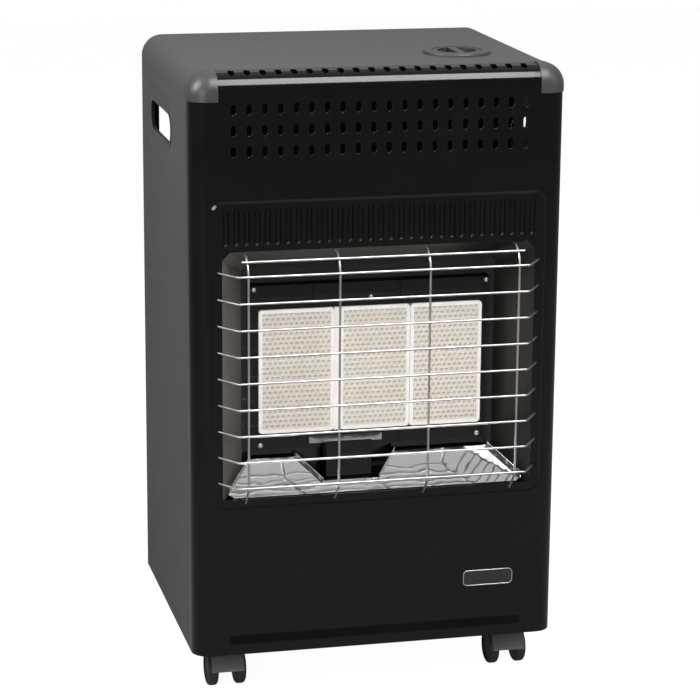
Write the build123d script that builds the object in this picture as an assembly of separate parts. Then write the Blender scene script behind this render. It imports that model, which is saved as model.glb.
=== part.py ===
from build123d import *
import math
import os

# Portable gas cabinet heater: a sheet-metal cabinet on four twin-wheel casters, with three radiant
# ceramic plaques behind a wire guard, a push-and-turn knob in the top and a bay for a gas bottle.
# Millimetres, +Z up. X runs to the right, Y runs from the front to the back, and the origin lies on
# the floor under the middle of the whole object. "Depth" is measured back from the front face.
# Heights below are taken from a datum FLOOR_Z under the floor; save() puts the floor at zero.

os.makedirs("parts", exist_ok=True)

# ---------------------------------------------------------------- cabinet
FLOOR_Z = 10.0
CABINET_WIDTH = 420.0
HALF_WIDTH = CABINET_WIDTH / 2
CABINET_DEPTH = 332.0
CABINET_TOP = 720.0
FOOT_Z = 62.0
SHEET = 1.0
TOP_CORNER_RADIUS = 24.0
PANEL_DEPTH = 30.0
ROLL_RADIUS = 20.0
SEAM_GAP = 0.5
REAR_FLANGE = 19.0
FRONT_FLANGE = 8.0
FOOT_FLANGE = 12.0
CLEARANCE = 0.3
CUT_PAST = 1000.0

# ---------------------------------------------------------------- front panel pressings
FRAME_FROM_SIDE = 20.0
FRAME_HALF_WIDTH = HALF_WIDTH - FRAME_FROM_SIDE
FRAME_ABOVE_FOOT = 172.0
FRAME_BOTTOM = FOOT_Z + FRAME_ABOVE_FOOT
FRAME_BELOW_TOP = 138.5
FRAME_TOP = CABINET_TOP - FRAME_BELOW_TOP
FRAME_RAISE = 2.5
FRAME_RADIUS = 15.0
APRON_FROM_SIDE = 31.0
APRON_HALF_WIDTH = HALF_WIDTH - APRON_FROM_SIDE
APRON_ABOVE_FOOT = 12.0
APRON_BOTTOM = FOOT_Z + APRON_ABOVE_FOOT
APRON_BELOW_FRAME = 17.0
APRON_TOP = FRAME_BOTTOM - APRON_BELOW_FRAME
APRON_DEPTH = 2.0
APRON_SLOPE = 10.0
APRON_RADIUS = 14.0
CAP_WIDTH = 30.0
CAP_INNER_X = HALF_WIDTH - CAP_WIDTH
VENT_FROM_CAP = 16.5
VENT_PITCH = 17.2
VENT_COLUMNS = 1 + int(2 * (CAP_INNER_X - VENT_FROM_CAP) / VENT_PITCH)
VENT_ROWS = [CABINET_TOP - drop for drop in (85.0, 62.1, 39.2)]
VENT_WIDTH = 7.0
VENT_HEIGHT = 13.0
ROLL_VENT_ANGLE = 16.0
FLUTE_FROM_FRAME = 17.0
FLUTE_PITCH = 11.5
FLUTE_COUNT = 1 + int(2 * (FRAME_HALF_WIDTH - FLUTE_FROM_FRAME) / FLUTE_PITCH)
FLUTE_WIDTH = 6.5
FLUTE_DEPTH = 2.5
FLUTE_BOTTOM = FRAME_TOP - 49.5
FLUTE_TOP = FRAME_TOP - 9.0
OPENING_FROM_FRAME = 13.0
OPENING_HALF_WIDTH = FRAME_HALF_WIDTH - OPENING_FROM_FRAME
OPENING_BOTTOM = FRAME_BOTTOM + 11.5
OPENING_TOP = FRAME_TOP - 55.5
OPENING_CHAMFER = 9.0
CAP_HEIGHT = 30.5
CAP_BOTTOM = CABINET_TOP - CAP_HEIGHT
CAP_STANDS_OUT = 1.2
CAP_WALL = 2.8
BADGE_FROM_SIDE = 79.0
BADGE_X = HALF_WIDTH - BADGE_FROM_SIDE
BADGE_ABOVE_FOOT = 71.0
BADGE_Z = FOOT_Z + BADGE_ABOVE_FOOT
BADGE_WIDTH = 60.0
BADGE_HEIGHT = 20.0
BADGE_THICKNESS = 1.6

# ---------------------------------------------------------------- wire guard
WIRE_RADIUS = 1.25
GUARD_STANDOFF = 28.0
RAIL_PITCH = 29.75
RAIL_TOP = OPENING_TOP - 22.6
RAIL_COUNT = 1 + int((RAIL_TOP - OPENING_BOTTOM) / RAIL_PITCH)
RAIL_HALF_WIDTH = OPENING_HALF_WIDTH - 13.5
RAIL_FOOT_X = OPENING_HALF_WIDTH + 4.0
RAIL_BEND = 4.0
TOP_RAIL_HALF_WIDTH = OPENING_HALF_WIDTH - 18.0
TOP_RAIL_ANGLE = 44.0
BAR_HALF_SPAN = OPENING_HALF_WIDTH - 24.7
BAR_COUNT = 4
BAR_TOP_Z = OPENING_TOP - 2.6
BAR_TOP_REACH = 0.0
BAR_FOOT_Z = OPENING_BOTTOM - 4.0
BAR_TOP_BEND = 22.0
WELD_GAP = 0.02
WIRE_HOLE_CLEARANCE = 0.8
WIRE_THROUGH = 2.5

# ---------------------------------------------------------------- firebox, plaques and burners
FIREBOX_BACK_DEPTH = 50.0
FIREBOX_TAPER = 31.0
FIREBOX_BACK_HALF_WIDTH = OPENING_HALF_WIDTH - FIREBOX_TAPER
FIREBOX_BACK_TOP = OPENING_TOP - 24.0
FIREBOX_CLEAR = 0.5
BURNER_WINDOW_HALF_WIDTH = FIREBOX_BACK_HALF_WIDTH - 14.0
BURNER_WINDOW_BOTTOM = OPENING_BOTTOM + 50.5
BURNER_WINDOW_TOP = FIREBOX_BACK_TOP - 32.0
PLATE_OVERLAP = 6.0
PLATE_HALF_WIDTH = BURNER_WINDOW_HALF_WIDTH + PLATE_OVERLAP
PLATE_BOTTOM = BURNER_WINDOW_BOTTOM - 8.0
PLATE_TOP = BURNER_WINDOW_TOP + 7.0
PLATE_DEPTH = 41.0
PLAQUE_BOTTOM = BURNER_WINDOW_BOTTOM + 11.8
PLAQUE_TOP = BURNER_WINDOW_TOP - 20.4
PLAQUE_FRONT_DEPTH = 38.0
PLAQUE_THICKNESS = 13.0
PLAQUE_RADIUS = 4.0
PLAQUE_EDGE_X = BURNER_WINDOW_HALF_WIDTH - 3.6
PLAQUE_SPANS = {"left": (-PLAQUE_EDGE_X, -42.4), "middle": (-36.0, 45.0), "right": (45.4, PLAQUE_EDGE_X)}
SEAL_THICKNESS = 12.0
BURNER_BOX_DEPTH = 28.0
VENTURI_RADIUS = 10.0
VENTURI_BOTTOM = PLAQUE_BOTTOM - 67.8
VENTURI_WALL = 1.2
VENTURI_MOUTH = 13.0
MANIFOLD_Z = VENTURI_BOTTOM - 18.0
MANIFOLD_RADIUS = 6.0
MANIFOLD_HALF_LENGTH = BURNER_WINDOW_HALF_WIDTH - 20.0
INJECTOR_RADIUS = 4.5
INJECTOR_TIP_RADIUS = 2.5
INJECTOR_LENGTH = 15.0
PIPE_RADIUS = 4.0
PIPE_BEND = 14.0
PILOT_PIPE_RADIUS = 2.0
SCREW_HEAD_RADIUS = 3.6
SCREW_HEAD_HEIGHT = 2.2
SCREW_SHANK_RADIUS = 1.9
SCREW_LENGTH = 8.0

# ---------------------------------------------------------------- reflector tray and pilot
TRAY_SHEET = 0.8
TRAY_FRONT_DEPTH = 2.0
TRAY_BACK_DEPTH = 44.0
TRAY_FRONT_Z = OPENING_BOTTOM + 0.1
TRAY_RISE = 32.0
TRAY_FRONT_HALF_WIDTH = OPENING_HALF_WIDTH - 14.0
TRAY_SHOULDER_HALF_WIDTH = OPENING_HALF_WIDTH - 7.0
TRAY_SHOULDER = 6.0
TRAY_BACK_HALF_WIDTH = FIREBOX_BACK_HALF_WIDTH - 8.0
TRAY_RIM = 7.0
PILOT_X = -28.0
NOTCH_FRONT_DEPTH = 15.0
NOTCH_FRONT_HALF_WIDTH = 32.0
NOTCH_BACK_HALF_WIDTH = 58.0
NOTCH_RIM = 6.0
SHELF_Z = PLAQUE_BOTTOM - 7.8
SHELF_REACH = 20.0
SHELF_BACK_HALF_WIDTH = 42.0
SHELF_FRONT_HALF_WIDTH = 28.5
PILOT_SHIELD_HALF_WIDTH = 26.0
PILOT_SHIELD_DEPTH = 24.0
PILOT_ELBOW_RADIUS = 3.5
PILOT_INLET_DEPTH = 55.0
PILOT_INLET_Z = SHELF_Z - 30.0

# ---------------------------------------------------------------- knob, valve and gas inlet
KNOB_FROM_SIDE = 95.0
KNOB_X = HALF_WIDTH - KNOB_FROM_SIDE
KNOB_DEPTH = 114.0
BEZEL_RADIUS = 38.0
BEZEL_HEIGHT = 3.8
BEZEL_WALL = 2.0
CUP_DEPTH = 22.5
KNOB_RADIUS = 28.0
KNOB_CLEARANCE = 0.4
KNOB_STANDS_OUT = 3.4
KNOB_TOP = CABINET_TOP + KNOB_STANDS_OUT
KNOB_HEIGHT = 17.4
KNOB_TRAVEL = 6.0
POCKET_RADIUS = 22.5
POCKET_DEPTH = 9.0
GRIP_HALF_WIDTH = 4.5
SPINDLE_RADIUS = 4.0
SPINDLE_BORE_CLEARANCE = 0.05
SPINDLE_TOP = KNOB_TOP - 11.4
SPRING_RADIUS = 9.5
SPRING_WIRE = 0.5
SPRING_TURNS = 4
SPRING_SPACE = 5.0
VALVE_BELOW_TOP = 46.0
VALVE_TOP = CABINET_TOP - VALVE_BELOW_TOP
SPINDLE_BOTTOM = VALVE_TOP - 18.0
VALVE_HEIGHT = 38.0
VALVE_HALF_WIDTH = 22.0
VALVE_HALF_DEPTH = 20.0
VALVE_NECK_RADIUS = 9.0
VALVE_NECK_HEIGHT = 12.0
BRACKET_HALF_WIDTH = 38.0
BRACKET_HALF_DEPTH = 24.0
BRACKET_SHEET = 1.5
NOZZLE_RADIUS = 4.5
NOZZLE_BORE = 2.5
NOZZLE_LENGTH = 26.0
NOZZLE_RIBS = 4
NOZZLE_Z = VALVE_TOP - 22.0

# ---------------------------------------------------------------- side handles
HANDLE_DEPTH = 207.5
HANDLE_BELOW_TOP = 83.5
HANDLE_Z = CABINET_TOP - HANDLE_BELOW_TOP
HANDLE_LENGTH = 135.0
HANDLE_HEIGHT = 34.0
DISH_LENGTH = 190.0
DISH_HEIGHT = 82.0
DISH_SINK = 2.0
RIM_WALL = 2.0
RIM_FLANGE = 2.0
RIM_FLANGE_THICKNESS = 0.8
RIM_LENGTH = 4.0
RIM_FRONT_LENGTH = 1.4

# ---------------------------------------------------------------- bottle bay, base and rear cover
SHIELD_DEPTH = 86.0
SHIELD_TOP = FRAME_TOP + 18.5
SHIELD_FLANGE = 12.0
SHIELD_HEAD_HALF_WIDTH = HALF_WIDTH - 28.0
SHIELD_HEAD_TOP = CABINET_TOP - 14.0
SHIELD_HOLE_CLEARANCE = 1.5
BASE_SHEET = 1.5
BASE_LIP = 18.0
BASE_TAIL_HALF_WIDTH = HALF_WIDTH - 40.0
BASE_TAIL_LIP = 12.0
BASE_TAIL_RADIUS = 24.0
STAND_RADIUS = 150.0
STAND_DEPTH = CABINET_DEPTH - 88.0
STAND_RAISE = 3.0
COVER_BULGE = 70.0
COVER_FROM_SIDE = 34.0
COVER_HALF_WIDTH = HALF_WIDTH - COVER_FROM_SIDE
COVER_BOTTOM = FOOT_Z + 4.0
COVER_BELOW_TOP = 164.0
COVER_TOP = CABINET_TOP - COVER_BELOW_TOP
COVER_CORNER_RADIUS = 25.0
COVER_LIP = 18.0
COVER_LOUVRES = 8
COVER_LOUVRE_PITCH = 36.0
COVER_LOUVRE_LENGTH = 26.0
COVER_LOUVRE_HEIGHT = 5.0
COVER_LOUVRE_ROWS = ([COVER_BOTTOM + rise for rise in (44.0, 58.0, 72.0)]
                     + [COVER_TOP - drop for drop in (72.0, 58.0, 44.0)])
HOOK_FROM_SIDE = 11.5
HOOK_X = HALF_WIDTH - HOOK_FROM_SIDE
HOOK_WIDTH = 3.0
HOOK_NECK = 8.0
HOOK_FINGER = 9.0
HOOK_LIFT = 10.0
HOOK_HEIGHTS = (COVER_BOTTOM + 84.0, COVER_TOP - 56.0)

# ---------------------------------------------------------------- casters
CASTER_FROM_SIDE = 43.5
CASTER_X = HALF_WIDTH - CASTER_FROM_SIDE
CASTER_FRONT_DEPTH = 64.0
CASTER_REAR_DEPTH = CABINET_DEPTH - 32.0
CASTER_TRAIL = 16.0
WHEEL_RADIUS = 20.5
WHEEL_WIDTH = 12.0
WHEEL_OUTER_X = 22.0
WHEEL_EDGE = 4.0
WHEEL_DISH = 1.5
AXLE_RADIUS = 3.0
AXLE_RUNNING = 0.05
HOOD_GAP = 0.8
HOOD_WALL = 2.2
HOOD_OVERHANG = 3.5
HOOD_FRONT_ANGLE = 4.0
HOOD_REAR_ANGLE = 150.0
CASTER_WEB_GAP = 0.6
STEM_RADIUS = 5.5
STEM_RUNNING = 0.08
STEM_LENGTH = 34.0
STEM_COLLAR_RADIUS = 9.0
SOCKET_WALL = 2.5
SOCKET_FLANGE_RADIUS = 13.0
SOCKET_FLANGE = 1.5

# ---------------------------------------------------------------- places worked out from the sizes
GUARD_FRONT = GUARD_STANDOFF + WIRE_RADIUS
FRONT_Y = -(CABINET_DEPTH + COVER_BULGE - GUARD_FRONT) / 2
FRAME_FACE = -FRAME_RAISE
FRAME_BACK = FRAME_FACE + SHEET
BASE_BOTTOM = FOOT_Z + SHEET
BASE_TOP = BASE_BOTTOM + BASE_SHEET
PLAQUE_BACK_DEPTH = PLAQUE_FRONT_DEPTH + PLAQUE_THICKNESS
BURNER_CENTRE_DEPTH = PLAQUE_BACK_DEPTH + BURNER_BOX_DEPTH / 2
FLUTE_RADIUS = (FLUTE_WIDTH ** 2 / 4 + FLUTE_DEPTH ** 2) / (2 * FLUTE_DEPTH)
COLLAR_TOP = FOOT_Z - SOCKET_FLANGE - 0.5
AXLE_Z = FLOOR_Z + WHEEL_RADIUS
SUPPLY_DROP_X = FIREBOX_BACK_HALF_WIDTH + 22
PILOT_DROP_X = KNOB_X - 12


def y_at(depth):
    """Place along Y of a depth behind the front face."""
    return FRONT_Y + depth


def block(x0, x1, depth0, depth1, z0, z1):
    """Box between two places along each axis, with Y given as depths."""
    centre = Pos((x0 + x1) / 2, y_at((depth0 + depth1) / 2), (z0 + z1) / 2)
    return centre * Box(x1 - x0, depth1 - depth0, z1 - z0)


def front_plane(depth):
    """Plane parallel to the front face: its x is X, its y is Z."""
    return Plane(origin=(0, y_at(depth), 0), x_dir=(1, 0, 0), z_dir=(0, -1, 0))


def side_plane(x):
    """Plane parallel to the sides: its x is Y, its y is Z."""
    return Plane(origin=(x, 0, 0), x_dir=(0, 1, 0), z_dir=(1, 0, 0))


def from_front(outline, depth0, depth1):
    """Prism of an outline drawn in X and Z, between two depths."""
    return extrude(front_plane(depth0) * outline, amount=depth1 - depth0, dir=(0, 1, 0))


def post(radius, x, depth, z0, z1):
    """Upright round bar."""
    return Pos(x, y_at(depth), (z0 + z1) / 2) * Cylinder(radius, z1 - z0)


def rod_x(radius, x0, x1, depth, z):
    """Round bar along X."""
    return Pos((x0 + x1) / 2, y_at(depth), z) * Rot(0, 90, 0) * Cylinder(radius, abs(x1 - x0))


def rod_y(radius, x, depth0, depth1, z):
    """Round bar along Y."""
    return Pos(x, y_at((depth0 + depth1) / 2), z) * Rot(90, 0, 0) * Cylinder(radius, depth1 - depth0)


def rounded(x0, x1, z0, z1, radius):
    """Rectangle with four round corners, drawn in X and Z."""
    return Pos((x0 + x1) / 2, (z0 + z1) / 2) * RectangleRounded(x1 - x0, z1 - z0, radius)


def evenly(count, pitch):
    """Places of a row of copies about the middle."""
    return [(i - (count - 1) / 2) * pitch for i in range(count)]


def wire(points, radius, bend):
    """Round wire along corner points, with every corner bent to one radius."""
    path = FilletPolyline(*points, radius=bend) if len(points) > 2 else Polyline(*points)
    start = Plane(origin=path @ 0, z_dir=path % 0)
    return sweep(start * Circle(radius), path=path)


def save(name, shape):
    """Write one named piece, or group of alike pieces, to its own file."""
    solids = shape if isinstance(shape, list) else shape.solids()
    solids = [Pos(0, 0, -FLOOR_Z) * s for s in solids]
    piece = solids[0] if len(solids) == 1 else Compound(children=list(solids))
    piece.label = name
    export_step(piece, f"parts/{name}.step")
    print(name, len(solids), round(sum(s.volume for s in solids) / 1000, 2), "cm3")


# ---------------------------------------------------------------- casing
def cabinet_outline(inset, foot):
    """Front view of the cabinet: square at the foot, round at the top corners."""
    half = HALF_WIDTH - inset
    top = CABINET_TOP - inset
    face = make_face(Polyline((-half, foot), (half, foot), (half, top), (-half, top), close=True))
    return fillet(face.vertices().group_by(Axis.Y)[-1], TOP_CORNER_RADIUS - inset)


def handle_slot(length, height):
    """Upright stadium in a side wall, drawn in Y and Z."""
    return Pos(y_at(HANDLE_DEPTH), HANDLE_Z) * SlotOverall(length, height)


def dish_form(side, shift):
    """Hollow of the pressed dish round a handle, moved inwards by a shift."""
    outer_x = side * (HALF_WIDTH - shift)
    inner_x = side * (HALF_WIDTH - shift - DISH_SINK)
    mouth = side_plane(outer_x) * handle_slot(DISH_LENGTH, DISH_HEIGHT)
    floor_length = HANDLE_LENGTH + 2 * (RIM_WALL + RIM_FLANGE) + 4
    floor_height = HANDLE_HEIGHT + 2 * (RIM_WALL + RIM_FLANGE) + 2
    floor = side_plane(inner_x) * handle_slot(floor_length, floor_height)
    return loft([mouth, floor])


def handle_dish(side):
    """Sheet of the dish: the hollow moved in by one sheet, less the hollow itself."""
    skin = extrude(side_plane(side * HALF_WIDTH) * handle_slot(DISH_LENGTH, DISH_HEIGHT),
                   amount=-side * SHEET)
    return skin + dish_form(side, SHEET) - dish_form(side, 0)


def casing():
    """Inverted U of sheet with flanges, two dished handle openings and the knob hole."""
    rear = CABINET_DEPTH
    shell = from_front(cabinet_outline(0, FOOT_Z), PANEL_DEPTH, rear)
    shell -= from_front(cabinet_outline(SHEET, 0), PANEL_DEPTH - 1, rear + 1)
    flange = cabinet_outline(0, FOOT_Z) - cabinet_outline(REAR_FLANGE + SHEET, 0)
    shell += from_front(flange, rear - SHEET, rear)
    lip = cabinet_outline(0, FOOT_Z) - cabinet_outline(FRONT_FLANGE + SHEET, 0)
    shell += from_front(lip, PANEL_DEPTH, PANEL_DEPTH + SHEET)
    for side in (-1, 1):
        foot = sorted((side * HALF_WIDTH, side * (HALF_WIDTH - FOOT_FLANGE)))
        shell += block(*foot, PANEL_DEPTH, rear, FOOT_Z, FOOT_Z + SHEET)
        mouth = extrude(side_plane(side * HALF_WIDTH) * handle_slot(DISH_LENGTH, DISH_HEIGHT),
                        amount=-side * SHEET)
        shell = shell - mouth + handle_dish(side)
        hole = handle_slot(HANDLE_LENGTH + 2 * (RIM_WALL + CLEARANCE),
                           HANDLE_HEIGHT + 2 * (RIM_WALL + CLEARANCE))
        shell -= extrude(side_plane(side * (HALF_WIDTH - 20)) * hole, amount=side * 30)
        for z in HOOK_HEIGHTS:
            x = side * HOOK_X
            half = HOOK_WIDTH / 2 + 2 * CLEARANCE
            high = z + HOOK_NECK + HOOK_LIFT + 2 * CLEARANCE
            shell -= block(x - half, x + half, rear - 5, rear + 5, z - CLEARANCE, high)
    cup_radius = KNOB_RADIUS + KNOB_CLEARANCE + BEZEL_WALL + CLEARANCE
    shell -= post(cup_radius, KNOB_X, KNOB_DEPTH, CABINET_TOP - 5, CABINET_TOP + 5)
    return shell


def handle_rim(side):
    """Plastic collar that lines a handle opening, shallower at its front end, with a flange."""
    face = HALF_WIDTH - DISH_SINK
    outer = handle_slot(HANDLE_LENGTH + 2 * RIM_WALL, HANDLE_HEIGHT + 2 * RIM_WALL)
    inner = handle_slot(HANDLE_LENGTH, HANDLE_HEIGHT)
    grown = 2 * (RIM_WALL + RIM_FLANGE)
    flange = handle_slot(HANDLE_LENGTH + grown, HANDLE_HEIGHT + grown)
    collar = extrude(side_plane(side * face) * (outer - inner), amount=-side * RIM_LENGTH)
    front = HANDLE_DEPTH - HANDLE_LENGTH / 2
    deep = sorted((side * (face - RIM_FRONT_LENGTH), side * (face - RIM_LENGTH - 1)))
    collar -= block(*deep, front - RIM_WALL - 1, front + HANDLE_HEIGHT / 2, HANDLE_Z - HANDLE_HEIGHT,
                    HANDLE_Z + HANDLE_HEIGHT)
    return collar + extrude(side_plane(side * face) * (flange - inner),
                            amount=side * RIM_FLANGE_THICKNESS)


# ---------------------------------------------------------------- front panel
def panel_form(inset, back):
    """Solid form of the front, inset all round, rolled at both sides and along the top."""
    form = from_front(cabinet_outline(inset, FOOT_Z + inset), inset, back)
    front = form.faces().sort_by(Axis.Y)[0]
    rolled = [e for e in front.edges() if e.center().Z > FOOT_Z + inset + 1]
    return fillet(rolled, ROLL_RADIUS - inset)


def frame_form(inset):
    """Raised frame round the burner opening, with sloping edges."""
    def outline(grow):
        half = FRAME_HALF_WIDTH - inset + grow
        return rounded(-half, half, FRAME_BOTTOM + inset - grow, FRAME_TOP - inset + grow,
                       FRAME_RADIUS - inset + grow)
    foot = front_plane(inset) * outline(0)
    face = front_plane(FRAME_FACE + inset) * outline(-FRAME_RAISE)
    return loft([foot, face])


def apron_form(shift):
    """Shallow hollow pressed in the lower front, with a wide sloping border."""
    def outline(inset, radius):
        half = APRON_HALF_WIDTH - inset
        return rounded(-half, half, APRON_BOTTOM + inset, APRON_TOP - inset, radius)
    mouth = front_plane(shift) * outline(0, APRON_RADIUS)
    floor = front_plane(shift + APRON_DEPTH) * outline(APRON_SLOPE, APRON_RADIUS - APRON_SLOPE)
    return loft([mouth, floor])


def flute_forms(radius):
    """Row of upright half-round grooves with round ends, as cutters of one radius."""
    centre = FRAME_FACE + FLUTE_DEPTH - FLUTE_RADIUS
    low = FLUTE_BOTTOM + FLUTE_WIDTH / 2
    high = FLUTE_TOP - FLUTE_WIDTH / 2
    forms = []
    for x in evenly(FLUTE_COUNT, FLUTE_PITCH):
        bar = post(radius, x, centre, low, high)
        ends = [Pos(x, y_at(centre), z) * Sphere(radius) for z in (low, high)]
        forms.append(bar + ends)
    return forms


def opening_outline(grow):
    """Burner opening: a rectangle with its two upper corners cut off."""
    half = OPENING_HALF_WIDTH + grow
    low = OPENING_BOTTOM - grow
    high = OPENING_TOP + grow
    cut = OPENING_CHAMFER
    return make_face(Polyline((-half, low), (half, low), (half, high - cut), (half - cut, high),
                              (cut - half, high), (-half, high - cut), close=True))


def rail_heights():
    """Heights of the guard rails that reach the panel, from the top down."""
    return [RAIL_TOP - i * RAIL_PITCH for i in range(RAIL_COUNT)]


def bar_places():
    """Places of the upright guard wires."""
    return evenly(BAR_COUNT, 2 * BAR_HALF_SPAN / (BAR_COUNT - 1))


def front_panel():
    """Pressed front: rolled edges, raised frame, flutes, vents, opening and wire holes."""
    outer = panel_form(0, PANEL_DEPTH - SEAM_GAP) + frame_form(0) - apron_form(0)
    outer -= flute_forms(FLUTE_RADIUS)
    inner = panel_form(SHEET, PANEL_DEPTH + 1) + frame_form(SHEET) - apron_form(SHEET)
    inner -= flute_forms(FLUTE_RADIUS + SHEET)
    panel = outer - inner

    vents = Sketch()
    for z in VENT_ROWS:
        for x in evenly(VENT_COLUMNS, VENT_PITCH):
            vents += Pos(x, z) * Rot(0, 0, 90) * SlotOverall(VENT_HEIGHT, VENT_WIDTH)
    panel -= from_front(vents, -5, 5)
    panel -= from_front(opening_outline(0), -8, 5)

    tilt = math.radians(ROLL_VENT_ANGLE)
    roll = Plane(origin=(0, y_at(ROLL_RADIUS), CABINET_TOP - ROLL_RADIUS), x_dir=(1, 0, 0),
                 z_dir=(0, -math.sin(tilt), math.cos(tilt)))
    slots = Sketch()
    for x in evenly(VENT_COLUMNS, VENT_PITCH):
        slots += Pos(x, 0) * Rot(0, 0, 90) * SlotOverall(VENT_HEIGHT, VENT_WIDTH)
    panel -= extrude(roll.offset(ROLL_RADIUS - 4) * slots, amount=8)

    hole = WIRE_RADIUS + WIRE_HOLE_CLEARANCE
    for z in rail_heights():
        for side in (-1, 1):
            panel -= rod_y(hole, side * RAIL_FOOT_X, FRAME_FACE - 3, FRAME_BACK + 3, z)
    for x in bar_places():
        panel -= rod_y(hole, x, FRAME_FACE - 3, FRAME_BACK + 3, BAR_FOOT_Z)
    for side in (-1, 1):
        corner = sorted((side * CAP_INNER_X, side * (HALF_WIDTH + 9)))
        panel -= block(*corner, -9, PANEL_DEPTH + 9, CAP_BOTTOM, CABINET_TOP + 9)
    return panel


def corner_cap(side):
    """Plastic cap that fills the open corner of the panel and stands a little proud."""
    back = PANEL_DEPTH - CLEARANCE
    cap = panel_form(-CAP_STANDS_OUT, back)
    cap -= panel_form(CAP_WALL - CAP_STANDS_OUT, back + 1)
    corner = sorted((side * CAP_INNER_X, side * (HALF_WIDTH + 9)))
    return cap & block(*corner, -9, back, CAP_BOTTOM, CABINET_TOP + 9)


def badge():
    """Blank badge plate on the floor of the lower pressing."""
    plate = rounded(BADGE_X - BADGE_WIDTH / 2, BADGE_X + BADGE_WIDTH / 2,
                    BADGE_Z - BADGE_HEIGHT / 2, BADGE_Z + BADGE_HEIGHT / 2, BADGE_HEIGHT * 0.3)
    return from_front(plate, APRON_DEPTH - BADGE_THICKNESS, APRON_DEPTH)


# ---------------------------------------------------------------- wire guard
def guard_rail(z):
    """Level wire whose ends bend back and outwards into the panel."""
    middle = (FRAME_FACE + FRAME_BACK) / 2
    slope = (RAIL_FOOT_X - RAIL_HALF_WIDTH) / (GUARD_STANDOFF + middle)
    end_depth = FRAME_BACK + WIRE_THROUGH
    end_x = RAIL_FOOT_X + slope * (end_depth - middle)
    front = y_at(-GUARD_STANDOFF)
    points = [(-end_x, y_at(end_depth), z), (-RAIL_HALF_WIDTH, front, z),
              (RAIL_HALF_WIDTH, front, z), (end_x, y_at(end_depth), z)]
    return wire(points, WIRE_RADIUS, RAIL_BEND)


def guard_bar(x):
    """Upright wire: hooks in under the opening's top edge and back to the panel below."""
    depth = -GUARD_STANDOFF + 2 * WIRE_RADIUS + WELD_GAP
    last = rail_heights()[-1]
    foot_depth = FRAME_BACK + WIRE_THROUGH
    points = [(x, y_at(BAR_TOP_REACH), BAR_TOP_Z), (x, y_at(depth), BAR_TOP_Z),
              (x, y_at(depth), last - 2 * WIRE_RADIUS), (x, y_at(FRAME_FACE - 3), BAR_FOOT_Z),
              (x, y_at(foot_depth), BAR_FOOT_Z)]
    bends = [BAR_TOP_BEND, 6.0, 2.5]
    path = FilletPolyline(*points, radius=bends)
    return sweep(Plane(origin=path @ 0, z_dir=path % 0) * Circle(WIRE_RADIUS), path=path)


def top_rail():
    """Short straight wire that lies on the curved tops of the upright wires."""
    depth = -GUARD_STANDOFF + 2 * WIRE_RADIUS + WELD_GAP
    reach = BAR_TOP_BEND + 2 * WIRE_RADIUS + WELD_GAP
    angle = math.radians(TOP_RAIL_ANGLE)
    top_depth = depth + BAR_TOP_BEND - reach * math.cos(angle)
    top_z = BAR_TOP_Z - BAR_TOP_BEND + reach * math.sin(angle)
    return rod_x(WIRE_RADIUS, -TOP_RAIL_HALF_WIDTH, TOP_RAIL_HALF_WIDTH, top_depth, top_z)


# ---------------------------------------------------------------- firebox
def firebox_section(depth, grow):
    """Section of the tapered firebox at a depth, grown outwards by a wall."""
    share = (depth - FRAME_BACK) / (FIREBOX_BACK_DEPTH - FRAME_BACK)
    front_half = OPENING_HALF_WIDTH + FIREBOX_CLEAR
    half = front_half + (FIREBOX_BACK_HALF_WIDTH - front_half) * share + grow
    low = OPENING_BOTTOM - FIREBOX_CLEAR - grow
    front_top = OPENING_TOP + FIREBOX_CLEAR
    high = front_top + (FIREBOX_BACK_TOP - front_top) * share + grow
    cut = OPENING_CHAMFER
    face = make_face(Polyline((-half, low), (half, low), (half, high - cut), (half - cut, high),
                              (cut - half, high), (-half, high - cut), close=True))
    return front_plane(depth) * face


def firebox():
    """Enamelled hood behind the opening, tapering to a back wall with the burner window."""
    back = FIREBOX_BACK_DEPTH
    outer = loft([firebox_section(FRAME_BACK, SHEET), firebox_section(back + SHEET, SHEET)],
                 ruled=True)
    inner = loft([firebox_section(FRAME_BACK, 0), firebox_section(back, 0)], ruled=True)
    window = block(-BURNER_WINDOW_HALF_WIDTH, BURNER_WINDOW_HALF_WIDTH, back - 5, back + 5,
                   BURNER_WINDOW_BOTTOM, BURNER_WINDOW_TOP)
    box = outer - inner - window
    for x, z in plate_screw_places():
        box -= rod_y(SCREW_SHANK_RADIUS + CLEARANCE, x, back - 5, back + 5, z)
    return box - rod_y(PILOT_ELBOW_RADIUS + CLEARANCE, PILOT_X, back - 5, back + 5, PILOT_INLET_Z)


def plate_screw_places():
    """Screws of the burner plate: two above, one over the middle plaque, two below."""
    top_x, top_z = PLATE_HALF_WIDTH - 4.5, PLATE_TOP - 4.0
    foot_x, foot_z = PLATE_HALF_WIDTH - 12.0, PLATE_BOTTOM + 5.5
    return [(-top_x, top_z), (top_x, top_z), (0.0, PLAQUE_TOP + 9.9), (-foot_x, foot_z), (foot_x, foot_z)]


def burner_plate():
    """Black pan that carries the plaques in front of the firebox's back wall."""
    half = PLATE_HALF_WIDTH
    pan = block(-half, half, PLATE_DEPTH, FIREBOX_BACK_DEPTH, PLATE_BOTTOM, PLATE_TOP)
    pan -= block(SHEET - half, half - SHEET, PLATE_DEPTH + SHEET, FIREBOX_BACK_DEPTH + 5,
                 PLATE_BOTTOM + SHEET, PLATE_TOP - SHEET)
    left = PLAQUE_SPANS["left"][0] - CLEARANCE
    right = PLAQUE_SPANS["right"][1] + CLEARANCE
    pan -= block(left, right, PLATE_DEPTH - 5, PLATE_DEPTH + 5, PLAQUE_BOTTOM - CLEARANCE,
                 PLAQUE_TOP + CLEARANCE)
    for x, z in plate_screw_places():
        pan -= rod_y(SCREW_SHANK_RADIUS + CLEARANCE, x, PLATE_DEPTH - 5, PLATE_DEPTH + 5, z)
    return pan


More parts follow.
